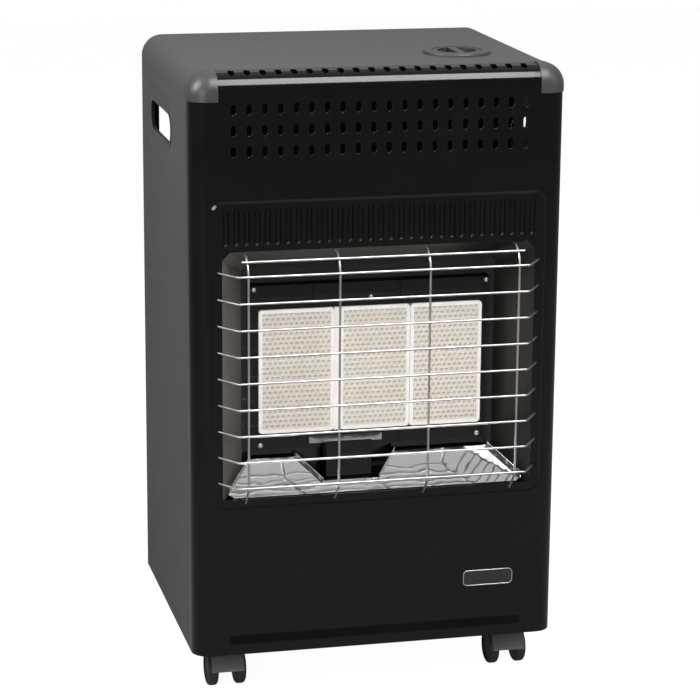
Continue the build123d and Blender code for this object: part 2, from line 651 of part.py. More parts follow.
def plate_screws():
    """Pan-head screws that hold the burner plate."""
    screws = []
    for x, z in plate_screw_places():
        head = rod_y(SCREW_HEAD_RADIUS, x, PLATE_DEPTH - SCREW_HEAD_HEIGHT, PLATE_DEPTH, z)
        shank = rod_y(SCREW_SHANK_RADIUS, x, PLATE_DEPTH, PLATE_DEPTH + SCREW_LENGTH, z)
        head = fillet(head.edges().sort_by(Axis.Y)[0], SCREW_HEAD_HEIGHT * 0.5)
        slot = SCREW_HEAD_RADIUS * 0.7
        cross = block(x - slot, x + slot, PLATE_DEPTH - SCREW_HEAD_HEIGHT - 1,
                      PLATE_DEPTH - SCREW_HEAD_HEIGHT + 0.8, z - 0.4, z + 0.4)
        cross += block(x - 0.4, x + 0.4, PLATE_DEPTH - SCREW_HEAD_HEIGHT - 1,
                       PLATE_DEPTH - SCREW_HEAD_HEIGHT + 0.8, z - slot, z + slot)
        screws.append((head + shank - cross).solid())
    return screws


def plaque(span):
    """One ceramic radiant plaque."""
    face = rounded(span[0], span[1], PLAQUE_BOTTOM, PLAQUE_TOP, PLAQUE_RADIUS)
    return from_front(face, PLAQUE_FRONT_DEPTH, PLAQUE_BACK_DEPTH)


def plaque_seal():
    """Strip of ceramic fibre in the wide joint between the left and the middle plaque."""
    left = PLAQUE_SPANS["left"][1] + CLEARANCE
    right = PLAQUE_SPANS["middle"][0] - CLEARANCE
    front = PLAQUE_BACK_DEPTH - SEAL_THICKNESS
    return block(left, right, front, PLAQUE_BACK_DEPTH, PLAQUE_BOTTOM, PLAQUE_TOP)


def burner_box(span):
    """Gas and air box behind a plaque, with its mixing tube below."""
    centre = (span[0] + span[1]) / 2
    low = PLAQUE_BOTTOM
    high = PLAQUE_TOP
    front = PLAQUE_BACK_DEPTH
    back = front + BURNER_BOX_DEPTH
    gap = CLEARANCE / 2
    shell = block(span[0] + gap, span[1] - gap, front, back, low, high)
    shell += block(span[0] + gap, span[1] - gap, front, front + 1.2, PLATE_BOTTOM, PLATE_TOP)
    tube = post(VENTURI_RADIUS, centre, BURNER_CENTRE_DEPTH, VENTURI_BOTTOM, low + 2)
    flare = Pos(centre, y_at(BURNER_CENTRE_DEPTH), VENTURI_BOTTOM + 4) * Cone(
        VENTURI_MOUTH, VENTURI_RADIUS, 8)
    shell = shell + tube + flare
    wall = 2 * VENTURI_WALL
    shell -= block(span[0] + wall, span[1] - wall, front - 1, back - VENTURI_WALL, low + wall,
                   high - wall)
    shell -= post(VENTURI_RADIUS - VENTURI_WALL, centre, BURNER_CENTRE_DEPTH, VENTURI_BOTTOM - 1,
                  low + 10)
    flare_bore = Pos(centre, y_at(BURNER_CENTRE_DEPTH), VENTURI_BOTTOM + 4) * Cone(
        VENTURI_MOUTH - VENTURI_WALL, VENTURI_RADIUS - VENTURI_WALL, 8.02)
    for x, z in plate_screw_places():
        shell -= rod_y(SCREW_SHANK_RADIUS + CLEARANCE, x, front - 5, front + 5, z)
    return shell - flare_bore


def injector_places():
    """Middle of each plaque, where an injector points up its mixing tube."""
    return [(a + b) / 2 for a, b in PLAQUE_SPANS.values()]


def injectors():
    """Brass jets screwed in the manifold."""
    jets = []
    for x in injector_places():
        base = MANIFOLD_Z + MANIFOLD_RADIUS - 1
        body = post(INJECTOR_RADIUS, x, BURNER_CENTRE_DEPTH, base, base + INJECTOR_LENGTH)
        tip = Pos(x, y_at(BURNER_CENTRE_DEPTH), base + INJECTOR_LENGTH + 2.5) * Cone(
            INJECTOR_RADIUS, INJECTOR_TIP_RADIUS, 5)
        bore = post(0.9, x, BURNER_CENTRE_DEPTH, base - 1, base + INJECTOR_LENGTH + 9)
        jets.append((body + tip - bore).solid())
    return jets


def injector_manifold():
    """Cross pipe under the burners, with two feet to the heat shield."""
    pipe = rod_x(MANIFOLD_RADIUS, -MANIFOLD_HALF_LENGTH, MANIFOLD_HALF_LENGTH,
                 BURNER_CENTRE_DEPTH, MANIFOLD_Z)
    pipe -= rod_x(MANIFOLD_RADIUS - 1.5, -MANIFOLD_HALF_LENGTH + 3, MANIFOLD_HALF_LENGTH + 1,
                  BURNER_CENTRE_DEPTH, MANIFOLD_Z)
    for side in (-1, 1):
        x = side * MANIFOLD_HALF_LENGTH * 0.6
        foot = block(x - 6, x + 6, BURNER_CENTRE_DEPTH + 3, SHIELD_DEPTH, MANIFOLD_Z - 5,
                     MANIFOLD_Z + 5)
        pipe += foot - rod_x(MANIFOLD_RADIUS - 1.5, x - 9, x + 9, BURNER_CENTRE_DEPTH, MANIFOLD_Z)
    for x in injector_places():
        base = MANIFOLD_Z + MANIFOLD_RADIUS - 1
        pipe -= post(INJECTOR_RADIUS, x, BURNER_CENTRE_DEPTH, base, base + 9)
        pipe -= post(1.5, x, BURNER_CENTRE_DEPTH, MANIFOLD_Z, base + 9)
    return pipe


# ---------------------------------------------------------------- reflector tray and pilot
def tray_plane():
    """Plane of the tray's sheet: its x is X, its y runs back and up the slope."""
    run = TRAY_BACK_DEPTH - TRAY_FRONT_DEPTH
    return Plane(origin=(0, y_at(TRAY_FRONT_DEPTH), TRAY_FRONT_Z), x_dir=(1, 0, 0),
                 z_dir=(0, -TRAY_RISE, run))


def tray_length():
    """Length of the tray's sheet up its slope."""
    return math.hypot(TRAY_BACK_DEPTH - TRAY_FRONT_DEPTH, TRAY_RISE)


def tray_outline():
    """Tray's sheet, wide in front and narrow behind."""
    back = tray_length()
    front, shoulder, rear = TRAY_FRONT_HALF_WIDTH, TRAY_SHOULDER_HALF_WIDTH, TRAY_BACK_HALF_WIDTH
    return make_face(Polyline((-front, 0), (front, 0), (shoulder, TRAY_SHOULDER), (rear, back),
                              (-rear, back), (-shoulder, TRAY_SHOULDER), close=True))


def notch_outline(grow):
    """Cut-out of the tray round the pilot."""
    share = (NOTCH_FRONT_DEPTH - TRAY_FRONT_DEPTH) / (TRAY_BACK_DEPTH - TRAY_FRONT_DEPTH)
    front = tray_length() * share - grow
    back = tray_length() + 1
    near = NOTCH_FRONT_HALF_WIDTH + grow
    far = NOTCH_BACK_HALF_WIDTH + grow
    return make_face(Polyline((PILOT_X - near, front), (PILOT_X + near, front),
                              (PILOT_X + far, back), (PILOT_X - far, back), close=True))


def reflector_tray():
    """Bright sheet under the plaques, with turned-up sides and a rimmed notch for the pilot."""
    plane = tray_plane()
    outline = tray_outline()
    tray = extrude(plane * outline, amount=TRAY_SHEET)
    rims = tray_outline() - offset(tray_outline(), -TRAY_SHEET, kind=Kind.INTERSECTION)
    sides = Pos(0, tray_length() / 2 + TRAY_SHOULDER / 2) * Rectangle(
        CUT_PAST, tray_length() - TRAY_SHOULDER - 2)
    middle = Pos(0, tray_length() / 2) * Rectangle(2 * (TRAY_BACK_HALF_WIDTH - 2), CUT_PAST)
    tray += extrude(plane * ((rims & sides) - middle), amount=TRAY_RIM)
    notch_rim = (notch_outline(TRAY_SHEET) - notch_outline(0)) & outline
    notch_sides = notch_rim - Pos(PILOT_X, 0) * Rectangle(2 * NOTCH_FRONT_HALF_WIDTH, CUT_PAST)
    tray += extrude(plane * notch_sides, amount=NOTCH_RIM)
    tray -= extrude(plane.offset(-5) * notch_outline(0), amount=20)
    legs = []
    for side in (-1, 1):
        x = side * (TRAY_BACK_HALF_WIDTH - 20)
        foot_depth = TRAY_FRONT_DEPTH + 0.8 * (TRAY_BACK_DEPTH - TRAY_FRONT_DEPTH)
        foot_top = TRAY_FRONT_Z + 0.8 * TRAY_RISE + 0.2
        legs.append(block(x - 8, x + 8, foot_depth, foot_depth + TRAY_SHEET,
                          OPENING_BOTTOM - FIREBOX_CLEAR, foot_top))
    return tray + legs


def pilot_shelf():
    """Light metal shelf under the plaques that spreads the pilot flame."""
    back = PLATE_DEPTH
    far, near = SHELF_BACK_HALF_WIDTH, SHELF_FRONT_HALF_WIDTH
    face = make_face(Polyline((PILOT_X - near, y_at(back - SHELF_REACH)),
                              (PILOT_X + near, y_at(back - SHELF_REACH)),
                              (PILOT_X + far, y_at(back)), (PILOT_X - far, y_at(back)),
                              close=True))
    shelf = extrude(Plane.XY.offset(SHELF_Z) * face, amount=SHEET)
    shelf += block(PILOT_X - far, PILOT_X + far, back - SHEET, back, SHELF_Z - 7, SHELF_Z + SHEET)
    for x in (-18, 0, 18):
        slot = Pos(PILOT_X + x, y_at(back - SHELF_REACH * 0.5)) * SlotOverall(9, 3)
        shelf -= extrude(Plane.XY.offset(SHELF_Z - 1) * slot, amount=4)
    return shelf


def pilot_shield():
    """Black folded cover in front of the pilot, standing on the firebox floor."""
    depth = PILOT_SHIELD_DEPTH
    half = PILOT_SHIELD_HALF_WIDTH
    low = OPENING_BOTTOM - FIREBOX_CLEAR
    high = SHELF_Z
    shield = block(PILOT_X - half, PILOT_X + half, depth, PLATE_DEPTH - 2, low, high)
    shield -= block(PILOT_X - half + SHEET, PILOT_X + half - SHEET, depth + SHEET,
                    PLATE_DEPTH + 5, low - 1, high + 1)
    return shield


def pilot_burner():
    """Pilot jet hanging under the shelf."""
    depth = PLATE_DEPTH - 9
    body = post(4.5, PILOT_X, depth, SHELF_Z - 34, SHELF_Z - 6)
    head = post(6.0, PILOT_X, depth, SHELF_Z - 6, SHELF_Z)
    elbow = rod_y(PILOT_ELBOW_RADIUS, PILOT_X, depth, PILOT_INLET_DEPTH, PILOT_INLET_Z)
    return body + head + elbow


def thermocouple():
    """Flame sensor rod beside the pilot."""
    x = PILOT_X + 14
    depth = PLATE_DEPTH - 9
    return post(2.4, x, depth, SHELF_Z - 30, SHELF_Z - 0.2) + post(3.6, x, depth, SHELF_Z - 30,
                                                                  SHELF_Z - 16)


def spark_electrode():
    """Ceramic-clad ignition electrode beside the pilot."""
    x = PILOT_X - 14
    depth = PLATE_DEPTH - 9
    return post(3.4, x, depth, SHELF_Z - 32, SHELF_Z - 8) + post(1.0, x, depth, SHELF_Z - 40,
                                                                SHELF_Z - 0.2)


def supply_route():
    """Corner points of the gas pipe from the valve to the manifold."""
    x = SUPPLY_DROP_X
    depth = BURNER_CENTRE_DEPTH
    return [(KNOB_X + VALVE_HALF_WIDTH, y_at(KNOB_DEPTH), NOZZLE_Z), (x, y_at(KNOB_DEPTH), NOZZLE_Z),
            (x, y_at(depth), NOZZLE_Z), (x, y_at(depth), MANIFOLD_Z),
            (MANIFOLD_HALF_LENGTH, y_at(depth), MANIFOLD_Z)]


def pilot_route():
    """Corner points of the thin pipe from the valve to the pilot."""
    depth = BURNER_CENTRE_DEPTH + BURNER_BOX_DEPTH / 2 + 3.6
    x = PILOT_DROP_X
    start = KNOB_DEPTH - VALVE_HALF_DEPTH
    low = PILOT_INLET_Z
    return [(x, y_at(start), NOZZLE_Z), (x, y_at(depth), NOZZLE_Z), (x, y_at(depth), low),
            (PILOT_X, y_at(depth), low), (PILOT_X, y_at(PILOT_INLET_DEPTH), low)]


# ---------------------------------------------------------------- knob and valve
def knob_bezel():
    """Raised ring in the top with a cup that the knob sits in."""
    inner = KNOB_RADIUS + KNOB_CLEARANCE
    cup = inner + BEZEL_WALL
    floor = CABINET_TOP - CUP_DEPTH
    ring = post(BEZEL_RADIUS, KNOB_X, KNOB_DEPTH, CABINET_TOP, CABINET_TOP + BEZEL_HEIGHT)
    ring = fillet(ring.edges().sort_by(Axis.Z)[-1], BEZEL_HEIGHT * 0.6)
    ring += post(cup, KNOB_X, KNOB_DEPTH, floor, CABINET_TOP + 0.5)
    ring -= post(inner, KNOB_X, KNOB_DEPTH, floor + SHEET + 0.5, CABINET_TOP + 20)
    return ring - post(SPINDLE_RADIUS + 1.5, KNOB_X, KNOB_DEPTH, floor - 5, floor + 9)


def control_knob():
    """Round push-and-turn knob with two finger pockets and a grip bar between them."""
    low = KNOB_TOP - KNOB_HEIGHT
    knob = post(KNOB_RADIUS, KNOB_X, KNOB_DEPTH, low, KNOB_TOP)
    knob = fillet(knob.edges().sort_by(Axis.Z)[-1], 1.5)
    pocket = post(POCKET_RADIUS, KNOB_X, KNOB_DEPTH, KNOB_TOP - POCKET_DEPTH, KNOB_TOP + 5)
    pocket -= block(KNOB_X - GRIP_HALF_WIDTH, KNOB_X + GRIP_HALF_WIDTH, KNOB_DEPTH - 40,
                    KNOB_DEPTH + 40, low, KNOB_TOP + 9)
    knob -= pocket
    room = SPRING_RADIUS + SPRING_WIRE + 1.5
    hub = SPRING_RADIUS - SPRING_WIRE - 1.5
    ring = post(room, KNOB_X, KNOB_DEPTH, low - 1, low + SPRING_SPACE)
    knob -= ring - post(hub, KNOB_X, KNOB_DEPTH, low - 5, KNOB_TOP)
    bore_top = SPINDLE_TOP + CLEARANCE
    return knob - post(SPINDLE_RADIUS + SPINDLE_BORE_CLEARANCE, KNOB_X, KNOB_DEPTH, low - 1,
                       bore_top)


def knob_spring():
    """Return spring between the cup's floor and the knob."""
    low = CABINET_TOP - CUP_DEPTH + SHEET + 0.5 + SPRING_WIRE + 0.1
    high = KNOB_TOP - KNOB_HEIGHT + SPRING_SPACE - SPRING_WIRE - 0.1
    path = Helix(pitch=(high - low) / SPRING_TURNS, height=high - low, radius=SPRING_RADIUS)
    coil = sweep(Plane(origin=path @ 0, z_dir=path % 0) * Circle(SPRING_WIRE), path=path)
    return Pos(KNOB_X, y_at(KNOB_DEPTH), low) * coil


def valve_spindle():
    """Turning spindle of the gas valve."""
    return post(SPINDLE_RADIUS, KNOB_X, KNOB_DEPTH, SPINDLE_BOTTOM, SPINDLE_TOP)


def valve_body():
    """Cast gas valve with a threaded neck and a boss for the hose nozzle."""
    x, depth = KNOB_X, KNOB_DEPTH
    low = VALVE_TOP - VALVE_HEIGHT
    body = block(x - VALVE_HALF_WIDTH, x + VALVE_HALF_WIDTH, depth - VALVE_HALF_DEPTH,
                 depth + VALVE_HALF_DEPTH, low, VALVE_TOP)
    body = fillet(body.edges().filter_by(Axis.Z), 5)
    body += post(VALVE_NECK_RADIUS, x, depth, VALVE_TOP, VALVE_TOP + VALVE_NECK_HEIGHT)
    bore = SPINDLE_RADIUS + SPINDLE_BORE_CLEARANCE
    return body - post(bore, x, depth, SPINDLE_BOTTOM - KNOB_TRAVEL - 1, CABINET_TOP)


def valve_bracket():
    """U bracket that hangs the valve under the top."""
    x, depth = KNOB_X, KNOB_DEPTH
    top = CABINET_TOP - SHEET
    half = BRACKET_HALF_WIDTH
    bracket = block(x - half, x + half, depth - BRACKET_HALF_DEPTH, depth + BRACKET_HALF_DEPTH,
                    VALVE_TOP, VALVE_TOP + BRACKET_SHEET)
    for side in (-1, 1):
        leg = sorted((x + side * half, x + side * (half - BRACKET_SHEET)))
        bracket += block(*leg, depth - BRACKET_HALF_DEPTH, depth + BRACKET_HALF_DEPTH, VALVE_TOP,
                         top)
        foot = sorted((x + side * half, x + side * (half + 12)))
        bracket += block(*foot, depth - BRACKET_HALF_DEPTH, depth + BRACKET_HALF_DEPTH,
                         top - BRACKET_SHEET, top)
    return bracket - post(VALVE_NECK_RADIUS + CLEARANCE, x, depth, VALVE_TOP - 5, VALVE_TOP + 9)


def hose_nozzle():
    """Ribbed gas inlet behind the valve; the hose pushes over it."""
    start = KNOB_DEPTH + VALVE_HALF_DEPTH
    nozzle = rod_y(NOZZLE_RADIUS + 3.5, KNOB_X, start, start + 8, NOZZLE_Z)
    nozzle += rod_y(NOZZLE_RADIUS, KNOB_X, start + 8, start + 8 + NOZZLE_LENGTH, NOZZLE_Z)
    for i in range(NOZZLE_RIBS):
        place = start + 12 + i * 5.5
        rib = Pos(KNOB_X, y_at(place + 1.5), NOZZLE_Z) * Rot(-90, 0, 0) * Cone(
            NOZZLE_RADIUS + 0.9, NOZZLE_RADIUS, 3)
        nozzle += rib
    return nozzle - rod_y(NOZZLE_BORE, KNOB_X, start - 1, start + 40, NOZZLE_Z)


# ---------------------------------------------------------------- base, shield and rear cover
def caster_places():
    """Name, X and depth of each caster."""
    return [("front_left", -CASTER_X, CASTER_FRONT_DEPTH),
            ("front_right", CASTER_X, CASTER_FRONT_DEPTH),
            ("rear_left", -CASTER_X, CASTER_REAR_DEPTH),
            ("rear_right", CASTER_X, CASTER_REAR_DEPTH)]


def base_plate():
    """Floor of the cabinet: lipped tray with a tail that carries the back of the bottle."""
    half = HALF_WIDTH - SHEET - CLEARANCE
    front = PANEL_DEPTH + SHEET + CLEARANCE
    back = CABINET_DEPTH - SHEET - CLEARANCE
    tail = CABINET_DEPTH + COVER_BULGE - SHEET - 3
    plate = block(-half, half, front, back, BASE_BOTTOM, BASE_BOTTOM + BASE_LIP)
    plate -= block(BASE_SHEET - half, half - BASE_SHEET, front + BASE_SHEET, back + 5, BASE_TOP,
                   BASE_BOTTOM + 99)
    wide = BASE_TAIL_HALF_WIDTH
    outer = block(-wide, wide, back - 60, tail, BASE_BOTTOM, BASE_BOTTOM + BASE_TAIL_LIP)
    outer = fillet(outer.edges().filter_by(Axis.Z).group_by(Axis.Y)[-1], BASE_TAIL_RADIUS)
    inner = block(BASE_SHEET - wide, wide - BASE_SHEET, back - 61, tail - BASE_SHEET, BASE_TOP,
                  BASE_BOTTOM + 99)
    inner = fillet(inner.edges().filter_by(Axis.Z).group_by(Axis.Y)[-1],
                   BASE_TAIL_RADIUS - BASE_SHEET)
    plate += (outer - inner) & block(-wide, wide, back - 1, tail, BASE_BOTTOM, BASE_BOTTOM + 99)
    plate += post(STAND_RADIUS, 0, STAND_DEPTH, BASE_TOP, BASE_TOP + STAND_RAISE)
    plate -= post(STAND_RADIUS - BASE_SHEET, 0, STAND_DEPTH, 0, BASE_BOTTOM + STAND_RAISE)
    socket = STEM_RADIUS + SOCKET_WALL + CLEARANCE
    for _, x, depth in caster_places():
        plate -= post(socket, x, depth, 0, BASE_TOP + 5)
    return plate


def caster_sockets():
    """Sleeves through the base plate that hold the caster stems."""
    sleeves = []
    for _, x, depth in caster_places():
        low = BASE_BOTTOM - SOCKET_FLANGE
        sleeve = post(STEM_RADIUS + SOCKET_WALL, x, depth, low, low + STEM_LENGTH + 2)
        sleeve += post(SOCKET_FLANGE_RADIUS, x, depth, low, BASE_BOTTOM)
        sleeve -= post(STEM_RADIUS + STEM_RUNNING, x, depth, low - 1, low + STEM_LENGTH + 0.4)
        sleeves.append(sleeve.solid())
    return sleeves


def heat_shield():
    """Upright sheet between the burners and the bottle, its head behind the vents."""
    half = HALF_WIDTH - SHEET
    shield = block(-half, half, SHIELD_DEPTH, SHIELD_DEPTH + SHEET, BASE_BOTTOM + BASE_LIP,
                   SHIELD_TOP)
    inner = half - BASE_SHEET - CLEARANCE * 2
    shield += block(-inner, inner, SHIELD_DEPTH, SHIELD_DEPTH + SHEET, BASE_TOP,
                    BASE_BOTTOM + BASE_LIP + 1)
    for side in (-1, 1):
        wall = sorted((side * half, side * (half - SHEET)))
        shield += block(*wall, SHIELD_DEPTH, SHIELD_DEPTH + SHIELD_FLANGE,
                        BASE_BOTTOM + BASE_LIP + 2, SHIELD_TOP)
    head = SHIELD_HEAD_HALF_WIDTH
    shield += block(-head, head, SHIELD_DEPTH, SHIELD_DEPTH + SHEET, SHIELD_TOP - 1, SHIELD_HEAD_TOP)
    shield -= block(KNOB_X - 18, KNOB_X + 18, SHIELD_DEPTH - 1, SHIELD_DEPTH + 5,
                    CABINET_TOP - CUP_DEPTH - 3, CABINET_TOP)
    for radius, x in ((PIPE_RADIUS, SUPPLY_DROP_X), (PILOT_PIPE_RADIUS, PILOT_DROP_X)):
        shield -= rod_y(radius + SHIELD_HOLE_CLEARANCE, x, SHIELD_DEPTH - 5, SHIELD_DEPTH + 5,
                        NOZZLE_Z)
    return shield


def cover_form(inset):
    """Solid form of the bulged rear cover, inset by a wall, rounded at its rear edges."""
    half = COVER_HALF_WIDTH - inset
    back = CABINET_DEPTH + COVER_BULGE - inset
    low = COVER_BOTTOM - (5 if inset else 0)
    form = block(-half, half, CABINET_DEPTH + CLEARANCE, back, low, COVER_TOP - inset)
    rear = form.faces().sort_by(Axis.Y)[-1]
    edges = [e for e in rear.edges() if e.center().Z > low + 1]
    return fillet(edges, COVER_CORNER_RADIUS - inset)


def cover_hook(side, z):
    """Hook of the cover: its neck passes a slot in the casing's flange, its finger drops behind."""
    x = side * HOOK_X
    half = HOOK_WIDTH / 2
    flange_back = CABINET_DEPTH - SHEET
    finger_back = flange_back - CLEARANCE
    finger_front = finger_back - SHEET
    neck = block(x - half, x + half, finger_front, CABINET_DEPTH + CLEARANCE + 0.5, z,
                 z + HOOK_NECK)
    return neck + block(x - half, x + half, finger_front, finger_back, z - HOOK_FINGER, z + 1)


def rear_cover():
    """Lift-off cover over the bottle, with louvres, a lip behind the casing and four hooks."""
    cover = cover_form(0) - cover_form(SHEET)
    lip_half = HALF_WIDTH - 4
    face = CABINET_DEPTH + CLEARANCE
    lip = block(-lip_half, lip_half, face, face + SHEET, COVER_BOTTOM, COVER_TOP + COVER_LIP)
    lip -= block(SHEET - COVER_HALF_WIDTH, COVER_HALF_WIDTH - SHEET, face - 5, face + 5, 0,
                 COVER_TOP - SHEET)
    cover += lip
    louvres = Sketch()
    for z in COVER_LOUVRE_ROWS:
        for x in evenly(COVER_LOUVRES, COVER_LOUVRE_PITCH):
            louvres += Pos(x, z) * SlotOverall(COVER_LOUVRE_LENGTH, COVER_LOUVRE_HEIGHT)
    back = CABINET_DEPTH + COVER_BULGE
    cover -= from_front(louvres, back - 5, back + 5)
    for side in (-1, 1):
        for z in HOOK_HEIGHTS:
            cover += cover_hook(side, z)
    return cover


# ---------------------------------------------------------------- casters
def caster_wheel(x, depth, side):
    """One wheel of a caster: a rounded tyre edge and a shallow dish in its outer face."""
    axle_depth = depth - CASTER_TRAIL
    outer = side * WHEEL_OUTER_X
    inner = side * (WHEEL_OUTER_X - WHEEL_WIDTH)
    wheel = rod_x(WHEEL_RADIUS, x + inner, x + outer, axle_depth, AXLE_Z)
    rims = [e for e in wheel.edges().filter_by(GeomType.CIRCLE)]
    wheel = fillet(rims, WHEEL_EDGE)
    wheel -= rod_x(WHEEL_RADIUS * 0.72, x + outer - side * WHEEL_DISH, x + outer + side * 5,
                   axle_depth, AXLE_Z)
    return wheel - rod_x(AXLE_RADIUS + AXLE_RUNNING, x + inner - side * 5,
                         x + outer - side * (WHEEL_DISH + 2), axle_depth, AXLE_Z)


def caster_hood(x, depth):
    """Curved hood over both wheels, with the web between them that carries axle and stem."""
    axle_depth = depth - CASTER_TRAIL
    inner = WHEEL_RADIUS + HOOD_GAP
    outer = inner + HOOD_WALL
    web = WHEEL_OUTER_X - WHEEL_WIDTH - CASTER_WEB_GAP
    half = WHEEL_OUTER_X - HOOD_OVERHANG
    shell = rod_x(outer, x - half, x + half, axle_depth, AXLE_Z)
    bore = rod_x(inner, x - half - 1, x - web, axle_depth, AXLE_Z)
    shell -= bore
    shell -= rod_x(inner, x + web, x + half + 1, axle_depth, AXLE_Z)
    sweep_angles = [HOOD_FRONT_ANGLE + (HOOD_REAR_ANGLE - HOOD_FRONT_ANGLE) * i / 4
                    for i in range(5)]
    points = [(0.0, 0.0)]
    for angle in sweep_angles:
        a = math.radians(angle)
        points.append((-3 * outer * math.cos(a), 3 * outer * math.sin(a)))
    sector = make_face(Polyline(*points, close=True))
    place = Plane(origin=(x - 60, y_at(axle_depth), AXLE_Z), x_dir=(0, 1, 0), z_dir=(1, 0, 0))
    shell &= extrude(place * sector, amount=120)
    boss = rod_x(AXLE_RADIUS + 4, x - web, x + web, axle_depth, AXLE_Z)
    collar = post(STEM_COLLAR_RADIUS, x, depth, AXLE_Z + 10, COLLAR_TOP)
    cut = rod_x(inner, x - 60, x - web, axle_depth, AXLE_Z)
    cut += rod_x(inner, x + web, x + 60, axle_depth, AXLE_Z)
    hood = shell + boss + (collar - cut)
    hood -= rod_x(AXLE_RADIUS + CLEARANCE / 10, x - 60, x + 60, axle_depth, AXLE_Z)
    return hood - post(STEM_RADIUS, x, depth, AXLE_Z + 16, COLLAR_TOP + 5)


def caster_axle(x, depth):
    """Steel axle through both wheels."""
    half = WHEEL_OUTER_X - WHEEL_DISH - 2 - CLEARANCE
    return rod_x(AXLE_RADIUS, x - half, x + half, depth - CASTER_TRAIL, AXLE_Z)


def caster_stem(x, depth):
    """Steel stem that turns in its sleeve."""
    low = AXLE_Z + 16
    return post(STEM_RADIUS, x, depth, low, BASE_BOTTOM - SOCKET_FLANGE + STEM_LENGTH)


# ---------------------------------------------------------------- write every piece
save("casing", casing())
save("front_panel", front_panel())
for word, side in (("left", -1), ("right", 1)):
    save(f"corner_cap_{word}", corner_cap(side))
    save(f"handle_rim_{word}", handle_rim(side))
save("badge", badge())
save("guard_rails", [guard_rail(z).solid() for z in rail_heights()] + [top_rail().solid()])
save("guard_bars", [guard_bar(x).solid() for x in bar_places()])
save("firebox", firebox())
save("burner_plate", burner_plate())
save("plate_screws", plate_screws())
for word, span in PLAQUE_SPANS.items():
    save(f"plaque_{word}", plaque(span))
    save(f"burner_{word}", burner_box(span))
save("plaque_seal", plaque_seal())
save("injectors", injectors())
save("injector_manifold", injector_manifold())
save("reflector_tray", reflector_tray())
save("pilot_shelf", pilot_shelf())
save("pilot_shield", pilot_shield())
save("pilot_burner", pilot_burner())
save("thermocouple", thermocouple())
save("spark_electrode", spark_electrode())
save("supply_pipe", wire(supply_route(), PIPE_RADIUS, PIPE_BEND))
save("pilot_pipe", wire(pilot_route(), PILOT_PIPE_RADIUS, 8.0))
save("knob_bezel", knob_bezel())
save("control_knob", control_knob())
save("knob_spring", knob_spring())
save("valve_spindle", valve_spindle())
save("valve_body", valve_body())
save("valve_bracket", valve_bracket())
save("hose_nozzle", hose_nozzle())
save("base_plate", base_plate())
save("caster_sockets", caster_sockets())
save("heat_shield", heat_shield())
save("rear_cover", rear_cover())
for word, x, depth in caster_places():
    save(f"{word}_caster_hood", caster_hood(x, depth))
    save(f"{word}_caster_stem", caster_stem(x, depth))
    save(f"{word}_caster_axle", caster_axle(x, depth))
    save(f"{word}_caster_wheel_left", caster_wheel(x, depth, -1))
    save(f"{word}_caster_wheel_right", caster_wheel(x, depth, 1))
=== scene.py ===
# %% [markdown]
# # A gas cabinet heater, dressed in Blender
#
# The heater's solids were made first, in a CAD program, and packed into a fixed frame, so every piece
# already has its real size and place. This lesson gives those pieces their finishes, adds the small forms
# that sheet metal and moulded plastic show up close, and sets up the floor, the lamps and the camera.
# Blender works in metres, so every length below is in metres too: 0.001 is one millimetre. X runs to the
# right, Y to the back and Z up.

# %% Load the frame
import math

import bmesh
import bpy
from mathutils import Matrix, Vector


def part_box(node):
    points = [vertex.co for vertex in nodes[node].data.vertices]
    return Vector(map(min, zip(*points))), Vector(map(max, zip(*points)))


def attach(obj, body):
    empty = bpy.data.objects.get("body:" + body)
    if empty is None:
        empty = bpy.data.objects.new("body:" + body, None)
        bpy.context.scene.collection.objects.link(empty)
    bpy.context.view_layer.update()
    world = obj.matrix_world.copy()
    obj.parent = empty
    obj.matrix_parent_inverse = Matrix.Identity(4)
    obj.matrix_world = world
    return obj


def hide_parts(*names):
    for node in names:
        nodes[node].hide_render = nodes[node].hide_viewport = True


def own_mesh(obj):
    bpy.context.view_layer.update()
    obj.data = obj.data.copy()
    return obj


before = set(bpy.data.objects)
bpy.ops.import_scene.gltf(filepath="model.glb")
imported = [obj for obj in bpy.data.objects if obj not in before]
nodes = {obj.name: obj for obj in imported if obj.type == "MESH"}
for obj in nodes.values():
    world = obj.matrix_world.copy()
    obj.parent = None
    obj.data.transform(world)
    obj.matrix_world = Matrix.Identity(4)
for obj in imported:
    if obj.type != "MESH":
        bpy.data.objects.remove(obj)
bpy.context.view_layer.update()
print("pieces in the frame:", len(nodes))

# %% [markdown]
# ## Reading places from the frame
#
# The front panel's box tells where the front and the top of the cabinet are, so nothing has to be typed
# twice. The raised frame round the burner opening stands 2.5 mm in front of the panel's face, and the box
# takes that in, so the face itself lies 2.5 mm behind the box.

# %% Places that later cells use
FRAME_RAISE = 0.0025
panel_low, panel_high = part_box("front_panel")
FACE_Y = panel_low.y + FRAME_RAISE
TOP_Z = panel_high.z
print("front face at y", round(FACE_Y, 4), "and top at z", round(TOP_Z, 4))

# %% [markdown]
# ## Shader maths that reads like maths
#
# A material in Blender is a small network of nodes, and wiring it by hand in code gets long. `Signal` keeps
# the sums short: it wraps the output of a node and turns +, -, * and / into Math nodes, whichever side of
# the sign the plain number stands on.

